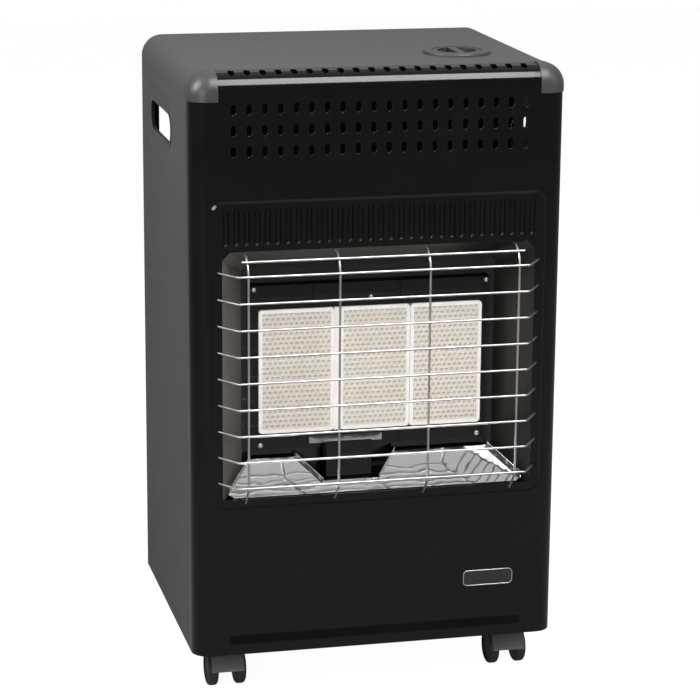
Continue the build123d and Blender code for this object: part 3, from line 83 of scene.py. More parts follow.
# %% Signal
class Signal:
    """The output of a node, with ordinary arithmetic."""

    def __init__(self, network, socket):
        self.network = network
        self.socket = socket

    def maths(self, operation, *others):
        """A Math node whose first value is this signal."""
        return self.network.maths(operation, self, *others)

    def __add__(self, other):
        return self.network.maths("ADD", self, other)

    def __radd__(self, other):
        return self.network.maths("ADD", other, self)

    def __sub__(self, other):
        return self.network.maths("SUBTRACT", self, other)

    def __rsub__(self, other):
        return self.network.maths("SUBTRACT", other, self)

    def __mul__(self, other):
        return self.network.maths("MULTIPLY", self, other)

    def __rmul__(self, other):
        return self.network.maths("MULTIPLY", other, self)

    def __truediv__(self, other):
        return self.network.maths("DIVIDE", self, other)

    def __rtruediv__(self, other):
        return self.network.maths("DIVIDE", other, self)

    def __abs__(self):
        return self.maths("ABSOLUTE")

    def above(self, limit):
        """1 where the signal is greater than the limit, else 0."""
        return self.maths("GREATER_THAN", limit)

    def below(self, limit):
        """1 where the signal is less than the limit, else 0."""
        return self.maths("LESS_THAN", limit)

    def sibling(self, output):
        """Another output of the same node, by its name."""
        return Signal(self.network, self.socket.node.outputs[output])


print("signals ready")

# %% [markdown]
# ## Any other node, and one material
#
# `Network.node` is the one way in which this lesson adds a node: it takes the node's type, its settings and
# what goes into its sockets, either a value or a signal. The methods under it are shorthands for the nodes
# that come back often. `Finish` is the network of one material, with the Principled shader that its signals
# feed. A Mix node holds a set of sockets for every kind of data, and those for colours are found by their
# numbers.

# %% Network and Finish
MIX_FACTOR, MIX_FIRST, MIX_SECOND, MIX_COLOUR = 0, 6, 7, 2


class Network:
    """The nodes of one material, or of the world."""

    def __init__(self, tree):
        self.tree = tree

    def node(self, kind, settings=None, sockets=None, output=0):
        """Add a node, set it up, fill or link its sockets, and wrap one of its outputs, if it has any."""
        made = self.tree.nodes.new(kind)
        for key, value in (settings or {}).items():
            setattr(made, key, value)
        for key, value in (sockets or {}).items():
            if isinstance(value, Signal):
                self.tree.links.new(value.socket, made.inputs[key])
            else:
                made.inputs[key].default_value = value
        return Signal(self, made.outputs[output]) if made.outputs else None

    def maths(self, operation, *values):
        return self.node("ShaderNodeMath", {"operation": operation}, dict(enumerate(values)))

    def parts(self, vector):
        """The X, Y and Z of a vector, each as a signal."""
        x = self.node("ShaderNodeSeparateXYZ", {}, {"Vector": vector})
        return x, x.sibling("Y"), x.sibling("Z")

    def spread(self, signal, low, high, start=0.3, end=0.7, smooth=False):
        """Rescale a signal: while it runs from start to end, the result runs from low to high."""
        kind = "SMOOTHSTEP" if smooth else "LINEAR"
        return self.node("ShaderNodeMapRange", {"interpolation_type": kind},
                         {"Value": signal, "From Min": start, "From Max": end, "To Min": low, "To Max": high})

    def mix_shaders(self, factor, first, second):
        """Shader that goes from the first to the second as the factor goes from 0 to 1."""
        return self.node("ShaderNodeMixShader", {}, {0: factor, 1: first, 2: second})


class Finish(Network):
    """The network of one material, with the shader that it feeds."""

    def __init__(self, name):
        self.material = bpy.data.materials.new(name)
        self.material.use_nodes = True
        self.shader = self.material.node_tree.nodes["Principled BSDF"]
        super().__init__(self.material.node_tree)

    def constant(self, **values):
        """Set what is the same all over the surface."""
        for key, value in values.items():
            self.shader.inputs[key.replace("_", " ")].default_value = value

    def feed(self, socket, signal):
        """Let a signal drive a socket of the shader."""
        self.tree.links.new(signal.socket, self.shader.inputs[socket])

    def place(self):
        """The point on the object, in metres, that a texture is looked up at."""
        return self.node("ShaderNodeTexCoord", output="Object")

    def noise(self, scale, detail=2.0, at=None):
        """Soft random spots, about 1 / scale metres across."""
        where = self.place() if at is None else at
        return self.node("ShaderNodeTexNoise", {}, {"Vector": where, "Scale": scale, "Detail": detail})

    def blend(self, factor, first, second):
        """Colour that goes from the first to the second as the factor goes from 0 to 1."""
        return self.node("ShaderNodeMix", {"data_type": "RGBA"},
                         {MIX_FACTOR: factor, MIX_FIRST: first, MIX_SECOND: second}, output=MIX_COLOUR)

    def cloudy(self, cloud, colour, factor):
        """The colour, which drifts with a noise to one that is factor times as light."""
        return self.blend(self.spread(cloud, 0.0, 1.0), colour, times(colour, factor))

    def bump(self, height, distance, strength, **others):
        """The surface's direction, tipped by the slopes of a height."""
        return self.node("ShaderNodeBump", {},
                         {"Height": height, "Distance": distance, "Strength": strength, **others})


def grey(value, warm=0.0):
    """A neutral colour, a little warm or cool."""
    return (value * (1 + warm), value, value * (1 - warm), 1.0)


def times(colour, factor):
    """A colour made lighter or darker."""
    return tuple(part * factor for part in colour[:3]) + (1.0,)


print("shader helpers ready")

# %% [markdown]
# ## The casing: textured powder coat
#
# The sides, the top and the rear cover are powder coated in a fine texture. Up close that texture is a field
# of little bumps half a millimetre across, and from afar it only spreads the light into a soft grey.
# Modelling the bumps would take millions of faces, so two noises in the material stand for them: a fine one
# for the bumps and a coarse, weak one so that no two hand-widths are quite alike.

# %% Powder coat
def powder_coat(name, colour, rough):
    """Textured coat: fine bumps, and a tone and a roughness that drift."""
    coat = Finish(name)
    fine = coat.noise(scale=1700.0)
    broad = coat.noise(scale=9.0, detail=3.0)
    tone = coat.spread(fine, low=0.90, high=1.10) * coat.spread(broad, low=0.95, high=1.05)
    shade = coat.node("ShaderNodeVectorMath", {"operation": "SCALE"}, {0: colour[:3], "Scale": tone})
    coat.feed("Base Color", shade)
    coat.feed("Roughness", coat.spread(broad, low=rough - 0.04, high=rough + 0.04))
    coat.feed("Normal", coat.bump(fine, distance=0.00012, strength=0.55))
    coat.constant(Specular_IOR_Level=0.36)
    return coat.material


side_coat = powder_coat("textured_powder_coat", grey(0.058), rough=0.56)
print("made", side_coat.name)

# %% [markdown]
# ## The front panel: smooth gloss black
#
# The front is sprayed smooth. Such paint is never a perfect mirror: it has a faint ripple, called orange
# peel, a centimetre or so across. A low bump makes reflections of straight edges waver slightly, and a weak
# noise on the roughness keeps the shine from looking like glass. The burner plate's enamel is the same recipe
# in a deeper black. The heat shield behind the vents gets the same recipe in a dull black, which is painted
# shade: it stands for the shadow seen through the vents.

# %% Gloss paint
PEEL_SCALE = 130.0


def gloss_paint(name, colour, rough, ripple, level):
    """Sprayed paint: ripple is the height of its orange peel, and level how strongly it reflects."""
    paint = Finish(name)
    peel = paint.noise(PEEL_SCALE, detail=1.0)
    cloud = paint.noise(scale=14.0, detail=4.0)
    paint.feed("Base Color", paint.cloudy(cloud, colour, factor=1.25))
    paint.feed("Roughness", paint.spread(cloud, low=rough * 0.85, high=rough * 1.2))
    paint.feed("Normal", paint.bump(peel, ripple, strength=0.35))
    paint.constant(Specular_IOR_Level=level)
    return paint.material


front_paint = gloss_paint("gloss_black_paint", grey(0.0034), rough=0.11, ripple=0.00008, level=0.22)
enamel = gloss_paint("black_plate_enamel", grey(0.0025, warm=0.04), rough=0.12, ripple=0.00010, level=0.35)
# Dull black on the heat shield is painted shade: it stands for the shadow seen through the vents.
vent_shade_paint = gloss_paint("black_vent_shade_paint", grey(0.003), rough=0.55, ripple=0.00008, level=0.3)
print("made", front_paint.name, enamel.name, "and", vent_shade_paint.name)

# %% [markdown]
# ## The recess: black enamel with a painted reflection
#
# The plaques stand in a tapered box. Its back is glossy black. The walls and the ceiling are a little rougher
# and carry a brownish grey tone at the left that is gone at the right: a painted reflection, which stands for
# the lit plaques that these walls mirror. The tone could be painted on an image; here it is worked out, so it
# needs no file. `Geometry` gives the direction that a point faces: a large X is a side wall, and a Z well
# below zero is the ceiling. The tone fades out between 5 and 12 centimetres to the right of the middle.

# %% Recess enamel
FADE_START, FADE_END = 0.05, 0.12
STEEP = 0.5
DULLER = 0.20
REFLECTION_FADED_TO = 0.14


def recess_paint(name, back, reflected_tone):
    """Black enamel on the back of the recess, with a brownish grey painted reflection on its walls and
    ceiling, which are rougher.
    """
    paint = Finish(name)
    facing_x, _, facing_z = paint.parts(paint.node("ShaderNodeNewGeometry", output="Normal"))
    sloping = abs(facing_x).above(STEEP) + facing_z.below(-STEEP)
    across, _, _ = paint.parts(paint.place())
    reflection_fade = paint.spread(across, low=0.0, high=1.0, start=FADE_START, end=FADE_END, smooth=True)
    cloud = paint.noise(scale=30.0, detail=4.0)
    # Painted reflection: a brownish grey on the walls and ceiling stands for the plaques that they mirror,
    # and fades out to the right.
    painted_reflection = paint.blend(reflection_fade, paint.cloudy(cloud, reflected_tone, factor=0.8), times(reflected_tone, REFLECTION_FADED_TO))
    paint.feed("Base Color", paint.blend(sloping, back, painted_reflection))
    paint.feed("Roughness", sloping * DULLER + paint.spread(cloud, low=0.12, high=0.18))
    paint.feed("Normal", paint.bump(paint.noise(PEEL_SCALE, detail=1.0), distance=0.00010, strength=0.35))
    paint.constant(Specular_IOR_Level=0.5)
    return paint.material


# The third colour is the painted reflection of the plaques on the walls and ceiling.
recess_enamel = recess_paint("black_recess_enamel_painted_reflection", grey(0.0030, warm=0.04), (0.110, 0.102, 0.090, 1.0))
print("made", recess_enamel.name)

# %% [markdown]
# ## Moulded plastic
#
# The corner caps, the knob and the caster hoods are moulded in dark plastic with a satin skin. Moulded skin
# has a very fine grain from the tool, and the broad tone drifts a little where the plastic flowed. The handle
# rims are one moulding each, toned like the casing on the outside. Inside the hole they are near black, which
# is painted shade for the shadow in the hole, so their material asks how far out a point lies.

# %% Satin plastics
RIM_SKIN = 0.0009


def satin_plastic(name, colour, rough, grain=0.00003):
    """Moulded skin; grain is the depth of the tool's texture in it."""
    skin = Finish(name)
    tool = skin.noise(scale=2600.0, detail=1.0)
    flow = skin.noise(scale=26.0, detail=3.0)
    skin.feed("Base Color", skin.cloudy(flow, colour, factor=1.18))
    skin.feed("Roughness", skin.spread(flow, low=rough - 0.03, high=rough + 0.04))
    skin.feed("Normal", skin.bump(tool, grain, strength=0.4))
    skin.constant(Specular_IOR_Level=0.5)
    return skin.material


def rim_plastic(edge):
    """Near black up to the edge, which is painted shade in the hole, and grey where the flange lies on the
    casing's outside.
    """
    skin = Finish("handle_rim_plastic")
    across, _, _ = skin.parts(skin.place())
    outside = abs(across).above(edge)
    # Near black inside the edge: painted shade for the shadow in the handle hole.
    skin.feed("Base Color", skin.blend(outside, grey(0.006), grey(0.055)))
    skin.feed("Roughness", skin.spread(skin.noise(scale=26.0, detail=3.0), low=0.34, high=0.44))
    return skin.material


trim_plastic = satin_plastic("satin_trim_plastic", grey(0.036), rough=0.40, grain=0.00006)
rim_finish = rim_plastic(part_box("handle_rim_right")[1].x - RIM_SKIN)
knob_plastic = satin_plastic("knob_plastic", grey(0.030), rough=0.34)
caster_plastic = satin_plastic("caster_hood_plastic", grey(0.105), rough=0.40)
wheel_plastic = satin_plastic("wheel_nylon", grey(0.011), rough=0.50, grain=0.00005)
badge_plastic = satin_plastic("badge_plastic", grey(0.012), rough=0.25, grain=0.00001)
print("made six plastics")

# %% [markdown]
# ## Bare and plated metals
#
# A bare metal's colour is that of its reflection, so `Metallic` is 1 and the base colour tints what it
# mirrors. What tells metals apart is the roughness and its pattern. Rolled sheet and drawn pipe have long
# faint streaks. Their noise is looked up at a place whose Z is multiplied by 0.1, which stretches it ten
# times along Z; plated wire is almost even. The two gas pipes are copper that has darkened with age.

# %% Metals
EVEN = (1.0, 1.0, 1.0)
ALONG_Z = (1.0, 1.0, 0.1)


def metal(name, colour, rough, streak=EVEN, scale=300.0, depth=0.00001):
    """Metal with a grain; streak says how fast the grain changes along each axis."""
    sheet = Finish(name)
    stretched = sheet.node("ShaderNodeVectorMath", {"operation": "MULTIPLY"}, {0: sheet.place(), 1: streak})
    grain = sheet.noise(scale, detail=4.0, at=stretched)
    cloud = sheet.noise(scale=22.0, detail=3.0)
    sheet.feed("Base Color", sheet.cloudy(cloud, colour, factor=0.9))
    sheet.feed("Roughness", sheet.spread(grain, low=rough * 0.75, high=rough * 1.3))
    sheet.feed("Normal", sheet.bump(grain, depth, strength=0.5))
    sheet.constant(Metallic=1.0)
    return sheet.material


guard_chrome = metal("bright_plated_wire", (0.52, 0.51, 0.50, 1.0), rough=0.36, scale=60.0, depth=0.000002)
zinc_steel = metal("zinc_plated_steel", (0.60, 0.60, 0.61, 1.0), rough=0.34, scale=500.0, depth=0.00002)
burner_steel = metal("aluminised_steel", grey(0.55), 0.45, streak=ALONG_Z, scale=400.0, depth=0.00003)
brass = metal("turned_brass", (0.76, 0.58, 0.27, 1.0), rough=0.28, scale=700.0)
cast_aluminium = metal("cast_aluminium", (0.62, 0.62, 0.63, 1.0), rough=0.5, scale=700.0, depth=0.0001)
copper = metal("drawn_copper_pipe", (0.17, 0.115, 0.09, 1.0), 0.3, streak=ALONG_Z, scale=600.0)
spring_steel = metal("spring_steel", (0.50, 0.50, 0.51, 1.0), rough=0.3)
print("made seven metals")

# %% [markdown]
# ## The reflector tray: polished sheet
#
# The tray under the plaques is thin polished sheet. Such sheet isn't quite flat: it is dished by a few
# degrees and has soft waves, and a mirror shows both at once. The solid is flat, so the material leans the
# direction that the surface faces, towards the front and down, and lays the waves over it with a bump.

# %% Mirror sheet
TRAY_LEAN = (0.0, -0.055, -0.045)


def mirror_sheet(name, colour, rough):
    """Polished sheet that leans and waves a little, in its shading alone."""
    sheet = Finish(name)
    flat = sheet.node("ShaderNodeNewGeometry", output="Normal")
    leaning = sheet.node("ShaderNodeVectorMath", {"operation": "ADD"}, {0: flat, 1: TRAY_LEAN})
    dished = sheet.node("ShaderNodeVectorMath", {"operation": "NORMALIZE"}, {0: leaning})
    waves = sheet.noise(scale=34.0, detail=1.5)
    sheet.feed("Base Color", sheet.cloudy(sheet.noise(scale=60.0, detail=3.0), colour, factor=0.93))
    sheet.feed("Roughness", sheet.spread(sheet.noise(scale=240.0), low=rough * 0.8, high=rough * 1.3))
    sheet.feed("Normal", sheet.bump(waves, distance=0.0006, strength=0.4, Normal=dished))
    sheet.constant(Metallic=1.0)
    return sheet.material


tray_steel = mirror_sheet("bright_reflector_sheet", (0.87, 0.87, 0.88, 1.0), rough=0.035)
print("made", tray_steel.name)

# %% [markdown]
# ## The radiant plaques
#
# A plaque is a ceramic tile full of fine straight holes, through which the gas burns. Its face has a plain
# border about four millimetres wide, and the holes sit in a staggered pattern with larger dimples among
# them. Thousands of cut holes would be heavy, so the pattern is worked out from the position itself: a
# repeating step along X and another along Z, shifted by half a step in every second row, give round spots. A
# dimple is a dark spot with a lighter one set a little lower inside it, which leaves the crescent of shade
# that a hollow lit from above shows. The border is where the distance to the tile's edge is small.

# %% A staggered pattern of spots
SPOT_OUTER, SPOT_INNER = 1.25, 0.75


def spots(tile, across, up, pitch, radius):
    """1 inside round spots of a staggered pattern, 0 outside, with a soft edge about the radius."""
    pitch_x, pitch_z = pitch
    rows = up / pitch_z
    shift = (rows.maths("FLOOR") * 0.5).maths("FRACT")
    off_x = ((across / pitch_x + shift).maths("FRACT") - 0.5) * pitch_x
    off_z = (rows.maths("FRACT") - 0.5) * pitch_z
    reach = (off_x * off_x + off_z * off_z).maths("SQRT")
    return tile.spread(reach, 0.0, 1.0, start=SPOT_OUTER * radius, end=SPOT_INNER * radius, smooth=True)


print("spots ready")

# %% [markdown]
# ## One material for each plaque
#
# The depths of the holes and of the whole field are given as shares of a dimple's. The strip between the
# left and the middle plaque is ceramic fibre, soft and plain, and the electrode's sleeve is glazed.

# %% Ceramic
BORDER = 0.0042
HOLE_PITCH, HOLE_RADIUS = (0.0021, 0.0018), 0.00062
DIMPLE_PITCH, DIMPLE_RADIUS = (0.0061, 0.0056), 0.0018
FLOOR_RADIUS, FLOOR_RIGHT, FLOOR_DOWN = 0.0013, 0.0003, 0.0005
HOLE_SHADE, DIMPLE_SHADE, FLOOR_LIGHT = 0.36, 0.90, 0.80
HOLE_DEPTH, FIELD_DEPTH = 0.4, 0.4
BORDER_LIGHT, BORDER_DARK = (0.84, 0.82, 0.79, 1.0), (0.78, 0.755, 0.72, 1.0)
FIRED, HOLE_COLOUR = (0.73, 0.685, 0.605, 1.0), (0.42, 0.37, 0.30, 1.0)
DIMPLE_COLOUR = (0.34, 0.30, 0.25, 1.0)


def plaque_ceramic(name, low, high):
    """The ceramic of the plaque whose box runs from low to high."""
    tile = Finish(name)
    across, _, up = tile.parts(tile.place())
    off_x = abs(across - (low.x + high.x) / 2)
    off_z = abs(up - (low.z + high.z) / 2)
    field = off_x.below((high.x - low.x) / 2 - BORDER) * off_z.below((high.z - low.z) / 2 - BORDER)
    holes = spots(tile, across, up, HOLE_PITCH, HOLE_RADIUS) * field
    dimples = spots(tile, across, up, DIMPLE_PITCH, DIMPLE_RADIUS) * field
    floors = spots(tile, across - FLOOR_RIGHT, up + FLOOR_DOWN, DIMPLE_PITCH, FLOOR_RADIUS) * field
    cloud = tile.noise(scale=60.0, detail=3.0)
    plain = tile.blend(tile.spread(cloud, low=0.0, high=1.0), BORDER_LIGHT, BORDER_DARK)
    pitted = tile.blend(holes * HOLE_SHADE, tile.blend(field, plain, FIRED), HOLE_COLOUR)
    shade = (dimples - floors * FLOOR_LIGHT) * DIMPLE_SHADE
    height = 0.0 - (holes * HOLE_DEPTH + dimples) - field * FIELD_DEPTH
    tile.feed("Base Color", tile.blend(shade, pitted, DIMPLE_COLOUR))
    tile.feed("Roughness", tile.spread(cloud, low=0.82, high=0.92))
    tile.feed("Normal", tile.bump(height, distance=0.0006, strength=0.9))
    tile.constant(Specular_IOR_Level=0.25)
    return tile.material


plaques = {name: plaque_ceramic("ceramic_" + name, *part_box(name))
           for name in ("plaque_left", "plaque_middle", "plaque_right")}
fibre = satin_plastic("ceramic_fibre_strip", (0.74, 0.71, 0.66, 1.0), rough=0.9, grain=0.0004)
white_ceramic = satin_plastic("electrode_ceramic", (0.75, 0.74, 0.70, 1.0), rough=0.3, grain=0.00001)
print("made the ceramic of", len(plaques), "plaques")

# %% [markdown]
# ## Giving the finishes to the pieces
#
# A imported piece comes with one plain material. Putting another in its first slot is all that is needed; the
# shape stays as it is. A table of names keeps it in one place, and a loop fills in the four casters.

# %% Assign the finishes
finish_of = {
    "casing": side_coat, "rear_cover": side_coat, "base_plate": side_coat,
    "front_panel": front_paint, "firebox": recess_enamel, "heat_shield": vent_shade_paint,
    "burner_plate": enamel, "pilot_shield": enamel,
    "corner_cap_left": trim_plastic, "corner_cap_right": trim_plastic, "knob_bezel": trim_plastic,
    "handle_rim_left": rim_finish, "handle_rim_right": rim_finish,
    "control_knob": knob_plastic, "badge": badge_plastic,
    "guard_rails": guard_chrome, "guard_bars": guard_chrome, "reflector_tray": tray_steel,
    "plate_screws": zinc_steel, "injector_manifold": zinc_steel, "pilot_shelf": zinc_steel,
    "valve_bracket": zinc_steel, "valve_spindle": zinc_steel, "thermocouple": zinc_steel,
    "caster_sockets": zinc_steel, "knob_spring": spring_steel,
    "burner_left": burner_steel, "burner_middle": burner_steel, "burner_right": burner_steel,
    "plaque_seal": fibre, "spark_electrode": white_ceramic,
    "injectors": brass, "pilot_burner": brass, "hose_nozzle": brass, "valve_body": cast_aluminium,
    "supply_pipe": copper, "pilot_pipe": copper,
}
finish_of.update(plaques)
for place in ("front_left", "front_right", "rear_left", "rear_right"):
    finish_of[f"{place}_caster_hood"] = caster_plastic
    finish_of[f"{place}_caster_stem"] = zinc_steel
    finish_of[f"{place}_caster_axle"] = zinc_steel
    finish_of[f"{place}_caster_wheel_left"] = wheel_plastic
    finish_of[f"{place}_caster_wheel_right"] = wheel_plastic
for name, piece in nodes.items():
    piece.data.materials.clear()
    piece.data.materials.append(finish_of[name])
print("finishes given to", len(nodes), "pieces")

# %% [markdown]
# ## Building pieces in mesh code
#
# Five small forms are made here and not as solids: the lip inside each vent, the welds of the guard, the
# spring under the knob, which shortens as the knob is pushed in, the domed screws, and the bright edge of the
# badge. Each is a row of rings, worked out point by point in `bmesh`. `strip` joins each ring of points to
# the next, and `add_piece` turns the finished mesh into an object that rides on the heater's body and takes
# the finish given to it.

# %% Mesh helpers
def circle(count):
    """The angles of so many points, evenly round a circle."""
    return [math.tau * i / count for i in range(count)]


def stadium(x, z, half_width, half_height, steps=8):
    """Points round an upright slot with round ends, in X and Z."""
    points = []
    for side, start in ((1, 0.0), (-1, math.pi)):
        for i in range(steps + 1):
            a = start + math.pi * i / steps
            points.append((x + half_width * math.cos(a),
                           z + side * (half_height - half_width) + half_width * math.sin(a)))
    return points


def strip(mesh, rings, capped=False):
    """Vertices at the points of each ring, faces from each ring to the next, and a cap on both ends."""
    made = [[mesh.verts.new(point) for point in ring] for ring in rings]
    for first, second in zip(made, made[1:]):
        count = len(first)
        for i in range(count):
            j = (i + 1) % count
            mesh.faces.new((first[i], first[j], second[j], second[i]))
    if capped:
        mesh.faces.new(made[0])
        mesh.faces.new(made[-1])


def add_piece(name, mesh, finish):
    """An object from a bmesh, shaded smooth, on the heater's body."""
    data = bpy.data.meshes.new(name)
    bmesh.ops.recalc_face_normals(mesh, faces=mesh.faces)
    mesh.to_mesh(data)
    mesh.free()
    for face in data.polygons:
        face.use_smooth = True
    data.materials.append(finish)
    piece = bpy.data.objects.new(name, data)
    bpy.context.scene.collection.objects.link(piece)
    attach(piece, "heater")
    return piece


print("mesh helpers ready")

# %% [markdown]
# ## Lips inside the vents
#
# Each vent is pressed through the sheet, so its edge is rolled inwards. The lip is a quarter round from the
# face into the hole and then a short straight neck: it starts flush with the face and ends 1.6 millimetres
# deep, a little narrower than the hole. Its lower half looks up, and that is the bright crescent at the foot
# of a vent. A Bevel modifier would round every other edge of the panel too, so the lips are a piece of their
# own.

# %% Vent lips
VENT_COLUMNS, VENT_PITCH = 20, 0.0172
VENT_DROPS = (0.0392, 0.0621, 0.0850)
VENT_HALF_WIDTH, VENT_HALF_HEIGHT = 0.0035, 0.0065
LIP = 0.0008
LIP_ANGLES = (0.0, 0.4, 0.8, 1.2, math.pi / 2)


def vent_lips():
    """The lips of three rows of vents, each row so far below the cabinet's top."""
    profile = [(LIP * math.sin(a), LIP - LIP * math.cos(a)) for a in LIP_ANGLES] + [(LIP, 2 * LIP)]
    mesh = bmesh.new()
    for drop in VENT_DROPS:
        for column in range(VENT_COLUMNS):
            x = (column - (VENT_COLUMNS - 1) / 2) * VENT_PITCH
            rings = []
            for narrower, depth in profile:
                outline = stadium(x, TOP_Z - drop, VENT_HALF_WIDTH - narrower, VENT_HALF_HEIGHT - narrower)
                rings.append([(px, FACE_Y + depth, pz) for px, pz in outline])
            strip(mesh, rings)
    return add_piece("vent_lips", mesh, front_paint)


vent_lips()
print("lips in", VENT_COLUMNS * len(VENT_DROPS), "vents")

# %% [markdown]
# ## Welds of the guard
#
# The guard's level wires are welded to the upright ones that stand behind them. Where two round wires are
# pressed together hot, the metal swells out into the corner between them. A small ball at each crossing,
# nearly half as wide again as a wire, gives that. Blender can add balls as objects, but one mesh keeps all
# the welds in one piece.

# %% Weld spots
RAIL_COUNT, RAIL_PITCH, WIRE_RADIUS = 9, 0.02975, 0.00125
RAIL_TOP = TOP_Z - 0.2166
RAIL_Y = FACE_Y - 0.028
BAR_COUNT, BAR_SPAN = 4, 0.3046
WELD_RADII = (WIRE_RADIUS * 1.45, WIRE_RADIUS * 1.6, WIRE_RADIUS * 1.45)
WELD_SIDES, WELD_LEVELS = 10, 6


def weld(mesh, centre):
    """A ball with its own radius along each axis."""
    rings = []
    for level in range(1, WELD_LEVELS):
        tilt = math.pi * level / WELD_LEVELS
        rings.append([(centre[0] + WELD_RADII[0] * math.sin(tilt) * math.cos(a),
                       centre[1] + WELD_RADII[1] * math.sin(tilt) * math.sin(a),
                       centre[2] + WELD_RADII[2] * math.cos(tilt)) for a in circle(WELD_SIDES)])
    strip(mesh, rings, capped=True)


def guard_welds():
    """A weld wherever one of the long level wires crosses an upright one."""
    mesh = bmesh.new()
    for row in range(RAIL_COUNT):
        for column in range(BAR_COUNT):
            x = (column / (BAR_COUNT - 1) - 0.5) * BAR_SPAN
            weld(mesh, (x, RAIL_Y + WIRE_RADIUS, RAIL_TOP - row * RAIL_PITCH))
    return add_piece("guard_welds", mesh, guard_chrome)


guard_welds()
print("welds:", RAIL_COUNT * BAR_COUNT)

# %% [markdown]
# ## The spring under the knob
#
# Pushing the knob in presses this coil together. A curve with a round section could make the coil as well;
# here it is a mesh, which can be squashed. A ring of eight points is placed at each step along the helix, and
# `strip` joins each ring to the next.

# %% Knob coil
COIL_TURNS, COIL_STEPS = 4, 28
COIL_WIRE, COIL_SIDES = 0.0005, 8


def knob_coil():
    """The knob's coil spring, which gets shorter as the knob is pushed in, and its height at rest."""
    low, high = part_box("knob_spring")
    centre = (low + high) / 2
    reach = (high.x - low.x) / 2 - COIL_WIRE
    climb = high.z - low.z - 2 * COIL_WIRE
    rings = []
    for step in range(COIL_TURNS * COIL_STEPS + 1):
        angle = step / COIL_STEPS * math.tau
        out = Vector((math.cos(angle), math.sin(angle), 0.0))
        rise = low.z + COIL_WIRE + climb * step / (COIL_TURNS * COIL_STEPS)
        middle = Vector((centre.x, centre.y, rise)) + out * reach
        rings.append([middle + out * (COIL_WIRE * math.cos(a)) + Vector((0, 0, COIL_WIRE * math.sin(a)))
                      for a in circle(COIL_SIDES)])
    mesh = bmesh.new()
    strip(mesh, rings, capped=True)
    coil = add_piece("knob_coil", mesh, spring_steel)
    tall = high.z - low.z
    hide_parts("knob_spring")
    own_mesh(coil)
    return tall


tall = knob_coil()

# %% [markdown]
# ## Screws of the burner plate
#
# Each screw has a small domed head with a recess for the driver. The places come from the CAD screws: their
# vertices are sorted into one group per screw. A profile of radius and depth, turned round the screw's axis,
# gives the shank, the head and the recess; a depth below zero stands out in front of the plate. A Screw
# modifier could turn the profile too, one object at a time.

# %% Domed screws
SCREW_PROFILE = [(0.00185, 0.0072), (0.00185, 0.0), (0.0027, 0.0), (0.0027, -0.0004),
                 (0.0024, -0.0010), (0.0017, -0.0015), (0.0010, -0.0017), (0.0007, -0.0011)]
SCREW_SIDES = 20
SCREW_REACH = 0.02
CAD_HEAD = 0.0022


def groups(points, reach):
    """The points in groups whose members lie within reach of the group's first one."""
    found = []
    for point in points:
        near = [group for group in found if (group[0] - point).length < reach]
        if near:
            near[0].append(point)
        else:
            found.append([point])
    return found


def domed_screws():
    """Turned screws in the places of the CAD ones, whose heads stand CAD_HEAD in front of the plate."""
    screws = groups([Vector(v.co) for v in nodes["plate_screws"].data.vertices], SCREW_REACH)
    mesh = bmesh.new()
    for group in screws:
        x, z = ((min(p[i] for p in group) + max(p[i] for p in group)) / 2 for i in (0, 2))
        seat = min(p.y for p in group) + CAD_HEAD
        strip(mesh, [[(x + radius * math.cos(a), seat + depth, z + radius * math.sin(a))
                      for a in circle(SCREW_SIDES)] for radius, depth in SCREW_PROFILE], capped=True)
    piece = add_piece("domed_screws", mesh, zinc_steel)
    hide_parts("plate_screws")
    return len(screws)


print("screws:", domed_screws())

# %% [markdown]
# ## Edge of the badge
#
# The badge is a blank plate with a thin bright line round it. Painted on the plate, the line would not catch
# the light, so it is a half-round bead that follows the plate's outline, set in by a little over a
# millimetre.

# %% Badge edge
BADGE_CORNER, CORNER_STEPS = 0.006, 6
BEAD_INSET, BEAD_RADIUS, BEAD_FLATTER = 0.0012, 0.0004, 0.8
BEAD_ANGLES = (0.0, 0.8, 1.57, 2.34, math.pi)


def badge_edge():
    """A bead along a rectangle with round corners, on the face of the badge."""
    low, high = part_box("badge")
    half_w, half_h = (high.x - low.x) / 2 - BEAD_INSET, (high.z - low.z) / 2 - BEAD_INSET
    corner = BADGE_CORNER - BEAD_INSET
    centre_x, centre_z = (low.x + high.x) / 2, (low.z + high.z) / 2
    outline = []
    for turn, (side_x, side_z) in enumerate(((1, 1), (-1, 1), (-1, -1), (1, -1))):
        for i in range(CORNER_STEPS + 1):
            a = math.pi / 2 * (turn + i / CORNER_STEPS)
            outline.append((centre_x + side_x * (half_w - corner) + corner * math.cos(a),
                            centre_z + side_z * (half_h - corner) + corner * math.sin(a)))
    rings = []
    for a in BEAD_ANGLES:
        grow = BEAD_RADIUS * math.cos(a)
        lift = BEAD_RADIUS * BEAD_FLATTER * math.sin(a)
        rings.append([(x + grow * (x - centre_x) / half_w, low.y - lift, z + grow * (z - centre_z) / half_h)
                      for x, z in outline])
    mesh = bmesh.new()
    strip(mesh, rings)
    return add_piece("badge_edge", mesh, zinc_steel)


badge_edge()
print("badge edge made")

# %% [markdown]
# ## The floor
#
# The heater stands on pale paper. The floor is a real surface, so that it takes the shadow of the wheels,
# but a lamp that lights the object well leaves the paper grey. `Light Path` tells what kind of ray is
# asking: for a camera ray most of the paper's colour comes from a white glow, a mirror ray gets a little of
# that glow and a greyer paper, and the light that bounces off the paper onto the cabinet comes from a grey
# of its own.

# %% Floor
FLOOR_HALF = 6.0
GLOW_STRENGTH, GLOW_SEEN, GLOW_MIRRORED = 1.145, 0.85, 0.10
PAPER_SEEN, PAPER_MIRRORED, PAPER_BOUNCED = grey(0.88), grey(0.30), grey(0.62)


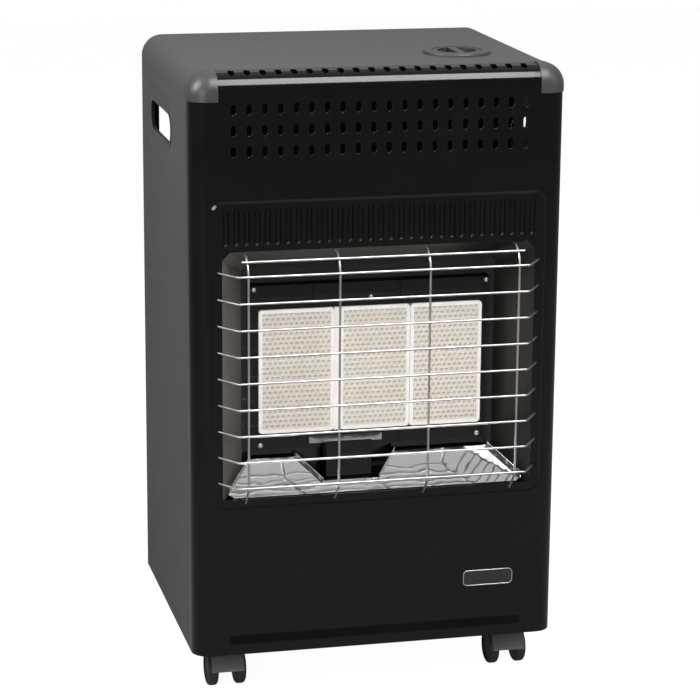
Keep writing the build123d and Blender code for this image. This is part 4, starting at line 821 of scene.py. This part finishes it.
def pale_paper():
    """Paper that takes shadows and yet looks white, by the kind of ray that asks."""
    paper = Finish("pale_floor")
    paper.constant(Roughness=0.9, Specular_IOR_Level=0.1)
    seen = paper.node("ShaderNodeLightPath", output="Is Camera Ray")
    mirrored = seen.sibling("Is Glossy Ray")
    unseen = paper.blend(mirrored, PAPER_BOUNCED, PAPER_MIRRORED)
    paper.feed("Base Color", paper.blend(seen, unseen, PAPER_SEEN))
    lit = Signal(paper, paper.shader.outputs["BSDF"])
    glow = paper.node("ShaderNodeEmission", {}, {"Color": grey(1.0), "Strength": GLOW_STRENGTH})
    mixed = paper.mix_shaders(seen * GLOW_SEEN + mirrored * GLOW_MIRRORED, lit, glow)
    paper.tree.links.new(mixed.socket, paper.tree.nodes["Material Output"].inputs["Surface"])
    return paper.material


def pale_floor(half):
    """A square floor, half of its side given."""
    mesh = bpy.data.meshes.new("floor")
    corners = [(-half, -half, 0), (half, -half, 0), (half, half, 0), (-half, half, 0)]
    mesh.from_pydata(corners, [], [(0, 1, 2, 3)])
    mesh.materials.append(pale_paper())
    floor = bpy.data.objects.new("floor", mesh)
    bpy.context.scene.collection.objects.link(floor)


pale_floor(FLOOR_HALF)
print("floor", 2 * FLOOR_HALF, "metres wide")

# %% [markdown]
# ## The white room
#
# Round the floor there is only the world. A camera ray sees it as plain white. A mirror ray sees a room that
# is dim in front, where the camera stands, and lighter towards the back, with a bright patch straight
# overhead and one high up at the back: that is what the tray, the wires and the gloss paint reflect. Every
# other ray gets a weak, even light that fills the shadows, so the lamps alone shape the paint. The Standard
# view transform keeps a strength of 1 as white.

# %% World
FILL = 0.14


def white_room():
    """A world that camera rays, mirror rays and all other rays each see in their own way."""
    world = bpy.data.worlds.new("white_room")
    bpy.context.scene.world = world
    world.use_nodes = True
    world.node_tree.nodes.clear()
    room = Network(world.node_tree)
    seen = room.node("ShaderNodeLightPath", output="Is Camera Ray")
    mirrored = seen.sibling("Is Glossy Ray").maths("MAXIMUM", seen.sibling("Is Transmission Ray"))
    _, back, up = room.parts(room.node("ShaderNodeTexCoord", output="Generated"))
    depth = room.spread(back, low=0.10, high=0.38, start=-0.5, end=0.35)
    overhead = room.spread(up, low=0.0, high=0.40, start=0.78, end=0.92)
    behind = room.spread(back, low=0.0, high=0.30, start=-0.12, end=0.10)
    high = room.spread(up, low=0.0, high=1.0, start=0.35, end=0.60)
    reflection = room.node("ShaderNodeBackground", {}, {"Strength": depth + overhead + behind * high})
    fill = room.node("ShaderNodeBackground", {}, {"Strength": FILL})
    white = room.node("ShaderNodeBackground", {}, {"Color": grey(1.0), "Strength": 1.0})
    unseen = room.mix_shaders(mirrored, fill, reflection)
    room.node("ShaderNodeOutputWorld", {}, {"Surface": room.mix_shaders(seen, unseen, white)})
    return world


print("made", white_room().name)
bpy.context.scene.view_settings.view_transform = "Standard"

# %% [markdown]
# ## The lamps
#
# The photograph shows where the lamps stood. The rolled top edge carries one long white band, and the angle
# of the roll there sends the eye's ray up and forwards, so a soft box, `front_box`, hangs high in front. The
# left roll carries a weaker grey band, from `left_panel`. `back_box`, at the back right, lifts the top a
# little. `right_panel` lights what faces the right, such as the left wall of the recess, and `camera_box`,
# beside the camera, lights the plaques, the guard and the badge from the front. Soft boxes are area lamps:
# the larger the rectangle, the softer its shadow.

# %% Soft boxes
def soft_box(name, place, aim, width, height, watts):
    """A rectangular lamp at a place, turned towards the point that it aims at."""
    lamp = bpy.data.lights.new(name, "AREA")
    lamp.shape = "RECTANGLE"
    lamp.size = width
    lamp.size_y = height
    lamp.energy = watts
    holder = bpy.data.objects.new(name, lamp)
    bpy.context.scene.collection.objects.link(holder)
    holder.location = place
    holder.rotation_euler = (Vector(aim) - Vector(place)).to_track_quat("-Z", "Y").to_euler()
    return name


lamps = [
    soft_box("front_box", (0.45, -1.31, 2.15), (0.43, -0.18, 0.70), width=0.66, height=1.22, watts=57.0),
    soft_box("left_panel", (-1.10, -0.32, 1.32), (0.0, 0.0, 0.88), width=0.50, height=0.60, watts=17.0),
    soft_box("back_box", (0.6, 1.9, 2.2), (0.0, 0.0, 0.7), width=1.2, height=0.8, watts=2.0),
    soft_box("right_panel", (1.9, -1.5, 1.35), (0.15, -0.1, 0.55), width=0.5, height=1.1, watts=7.0),
    soft_box("camera_box", (-1.75, -2.75, 0.85), (0.0, -0.1, 0.45), width=0.55, height=0.55, watts=22.0),
]
print("lamps:", lamps)

# %% [markdown]
# ## The camera
#
# The picture was taken from a little to the left, above the object and nearly three metres away. The place,
# the direction and the long lens were worked out from how far parallel edges of the cabinet run together, so
# the lens is given in pixels of a picture 700 pixels wide. The lens's axis doesn't quite go through the
# middle of the picture, and the camera's shift sees to that.

# %% Camera
PICTURE_PIXELS = 700.0
LENS_PIXELS = 2583.4
AXIS_PIXEL = (350.5, 349.1)
SENSOR_WIDTH = 36.0
YAW, PITCH, ROLL = 0.23525, 0.25014, 0.00814
CAMERA_PLACE = (-0.67714, FACE_Y - 2.68821, TOP_Z + 0.39709)


def set_camera():
    """A camera that looks ahead by yaw and pitch, then is rolled about its own axis."""
    data = bpy.data.cameras.new("camera")
    data.sensor_fit = "HORIZONTAL"
    data.sensor_width = SENSOR_WIDTH
    data.lens = LENS_PIXELS / PICTURE_PIXELS * SENSOR_WIDTH
    data.clip_end = 50.0
    data.shift_x = (PICTURE_PIXELS / 2 - AXIS_PIXEL[0]) / PICTURE_PIXELS
    data.shift_y = (AXIS_PIXEL[1] - PICTURE_PIXELS / 2) / PICTURE_PIXELS
    camera = bpy.data.objects.new("camera", data)
    bpy.context.scene.collection.objects.link(camera)
    ahead = Vector((math.sin(YAW) * math.cos(PITCH), math.cos(YAW) * math.cos(PITCH), -math.sin(PITCH)))
    right = ahead.cross(Vector((0, 0, 1))).normalized()
    up = right.cross(ahead)
    turn = Matrix((right, up, -ahead)).transposed() @ Matrix.Rotation(ROLL, 3, "Z")
    camera.matrix_world = turn.to_4x4()
    camera.location = CAMERA_PLACE
    bpy.context.scene.camera = camera
    return camera


print("camera at", tuple(round(v, 3) for v in set_camera().location))

# %% [markdown]
# ## The last line

# %% Finish
print("scene set up")
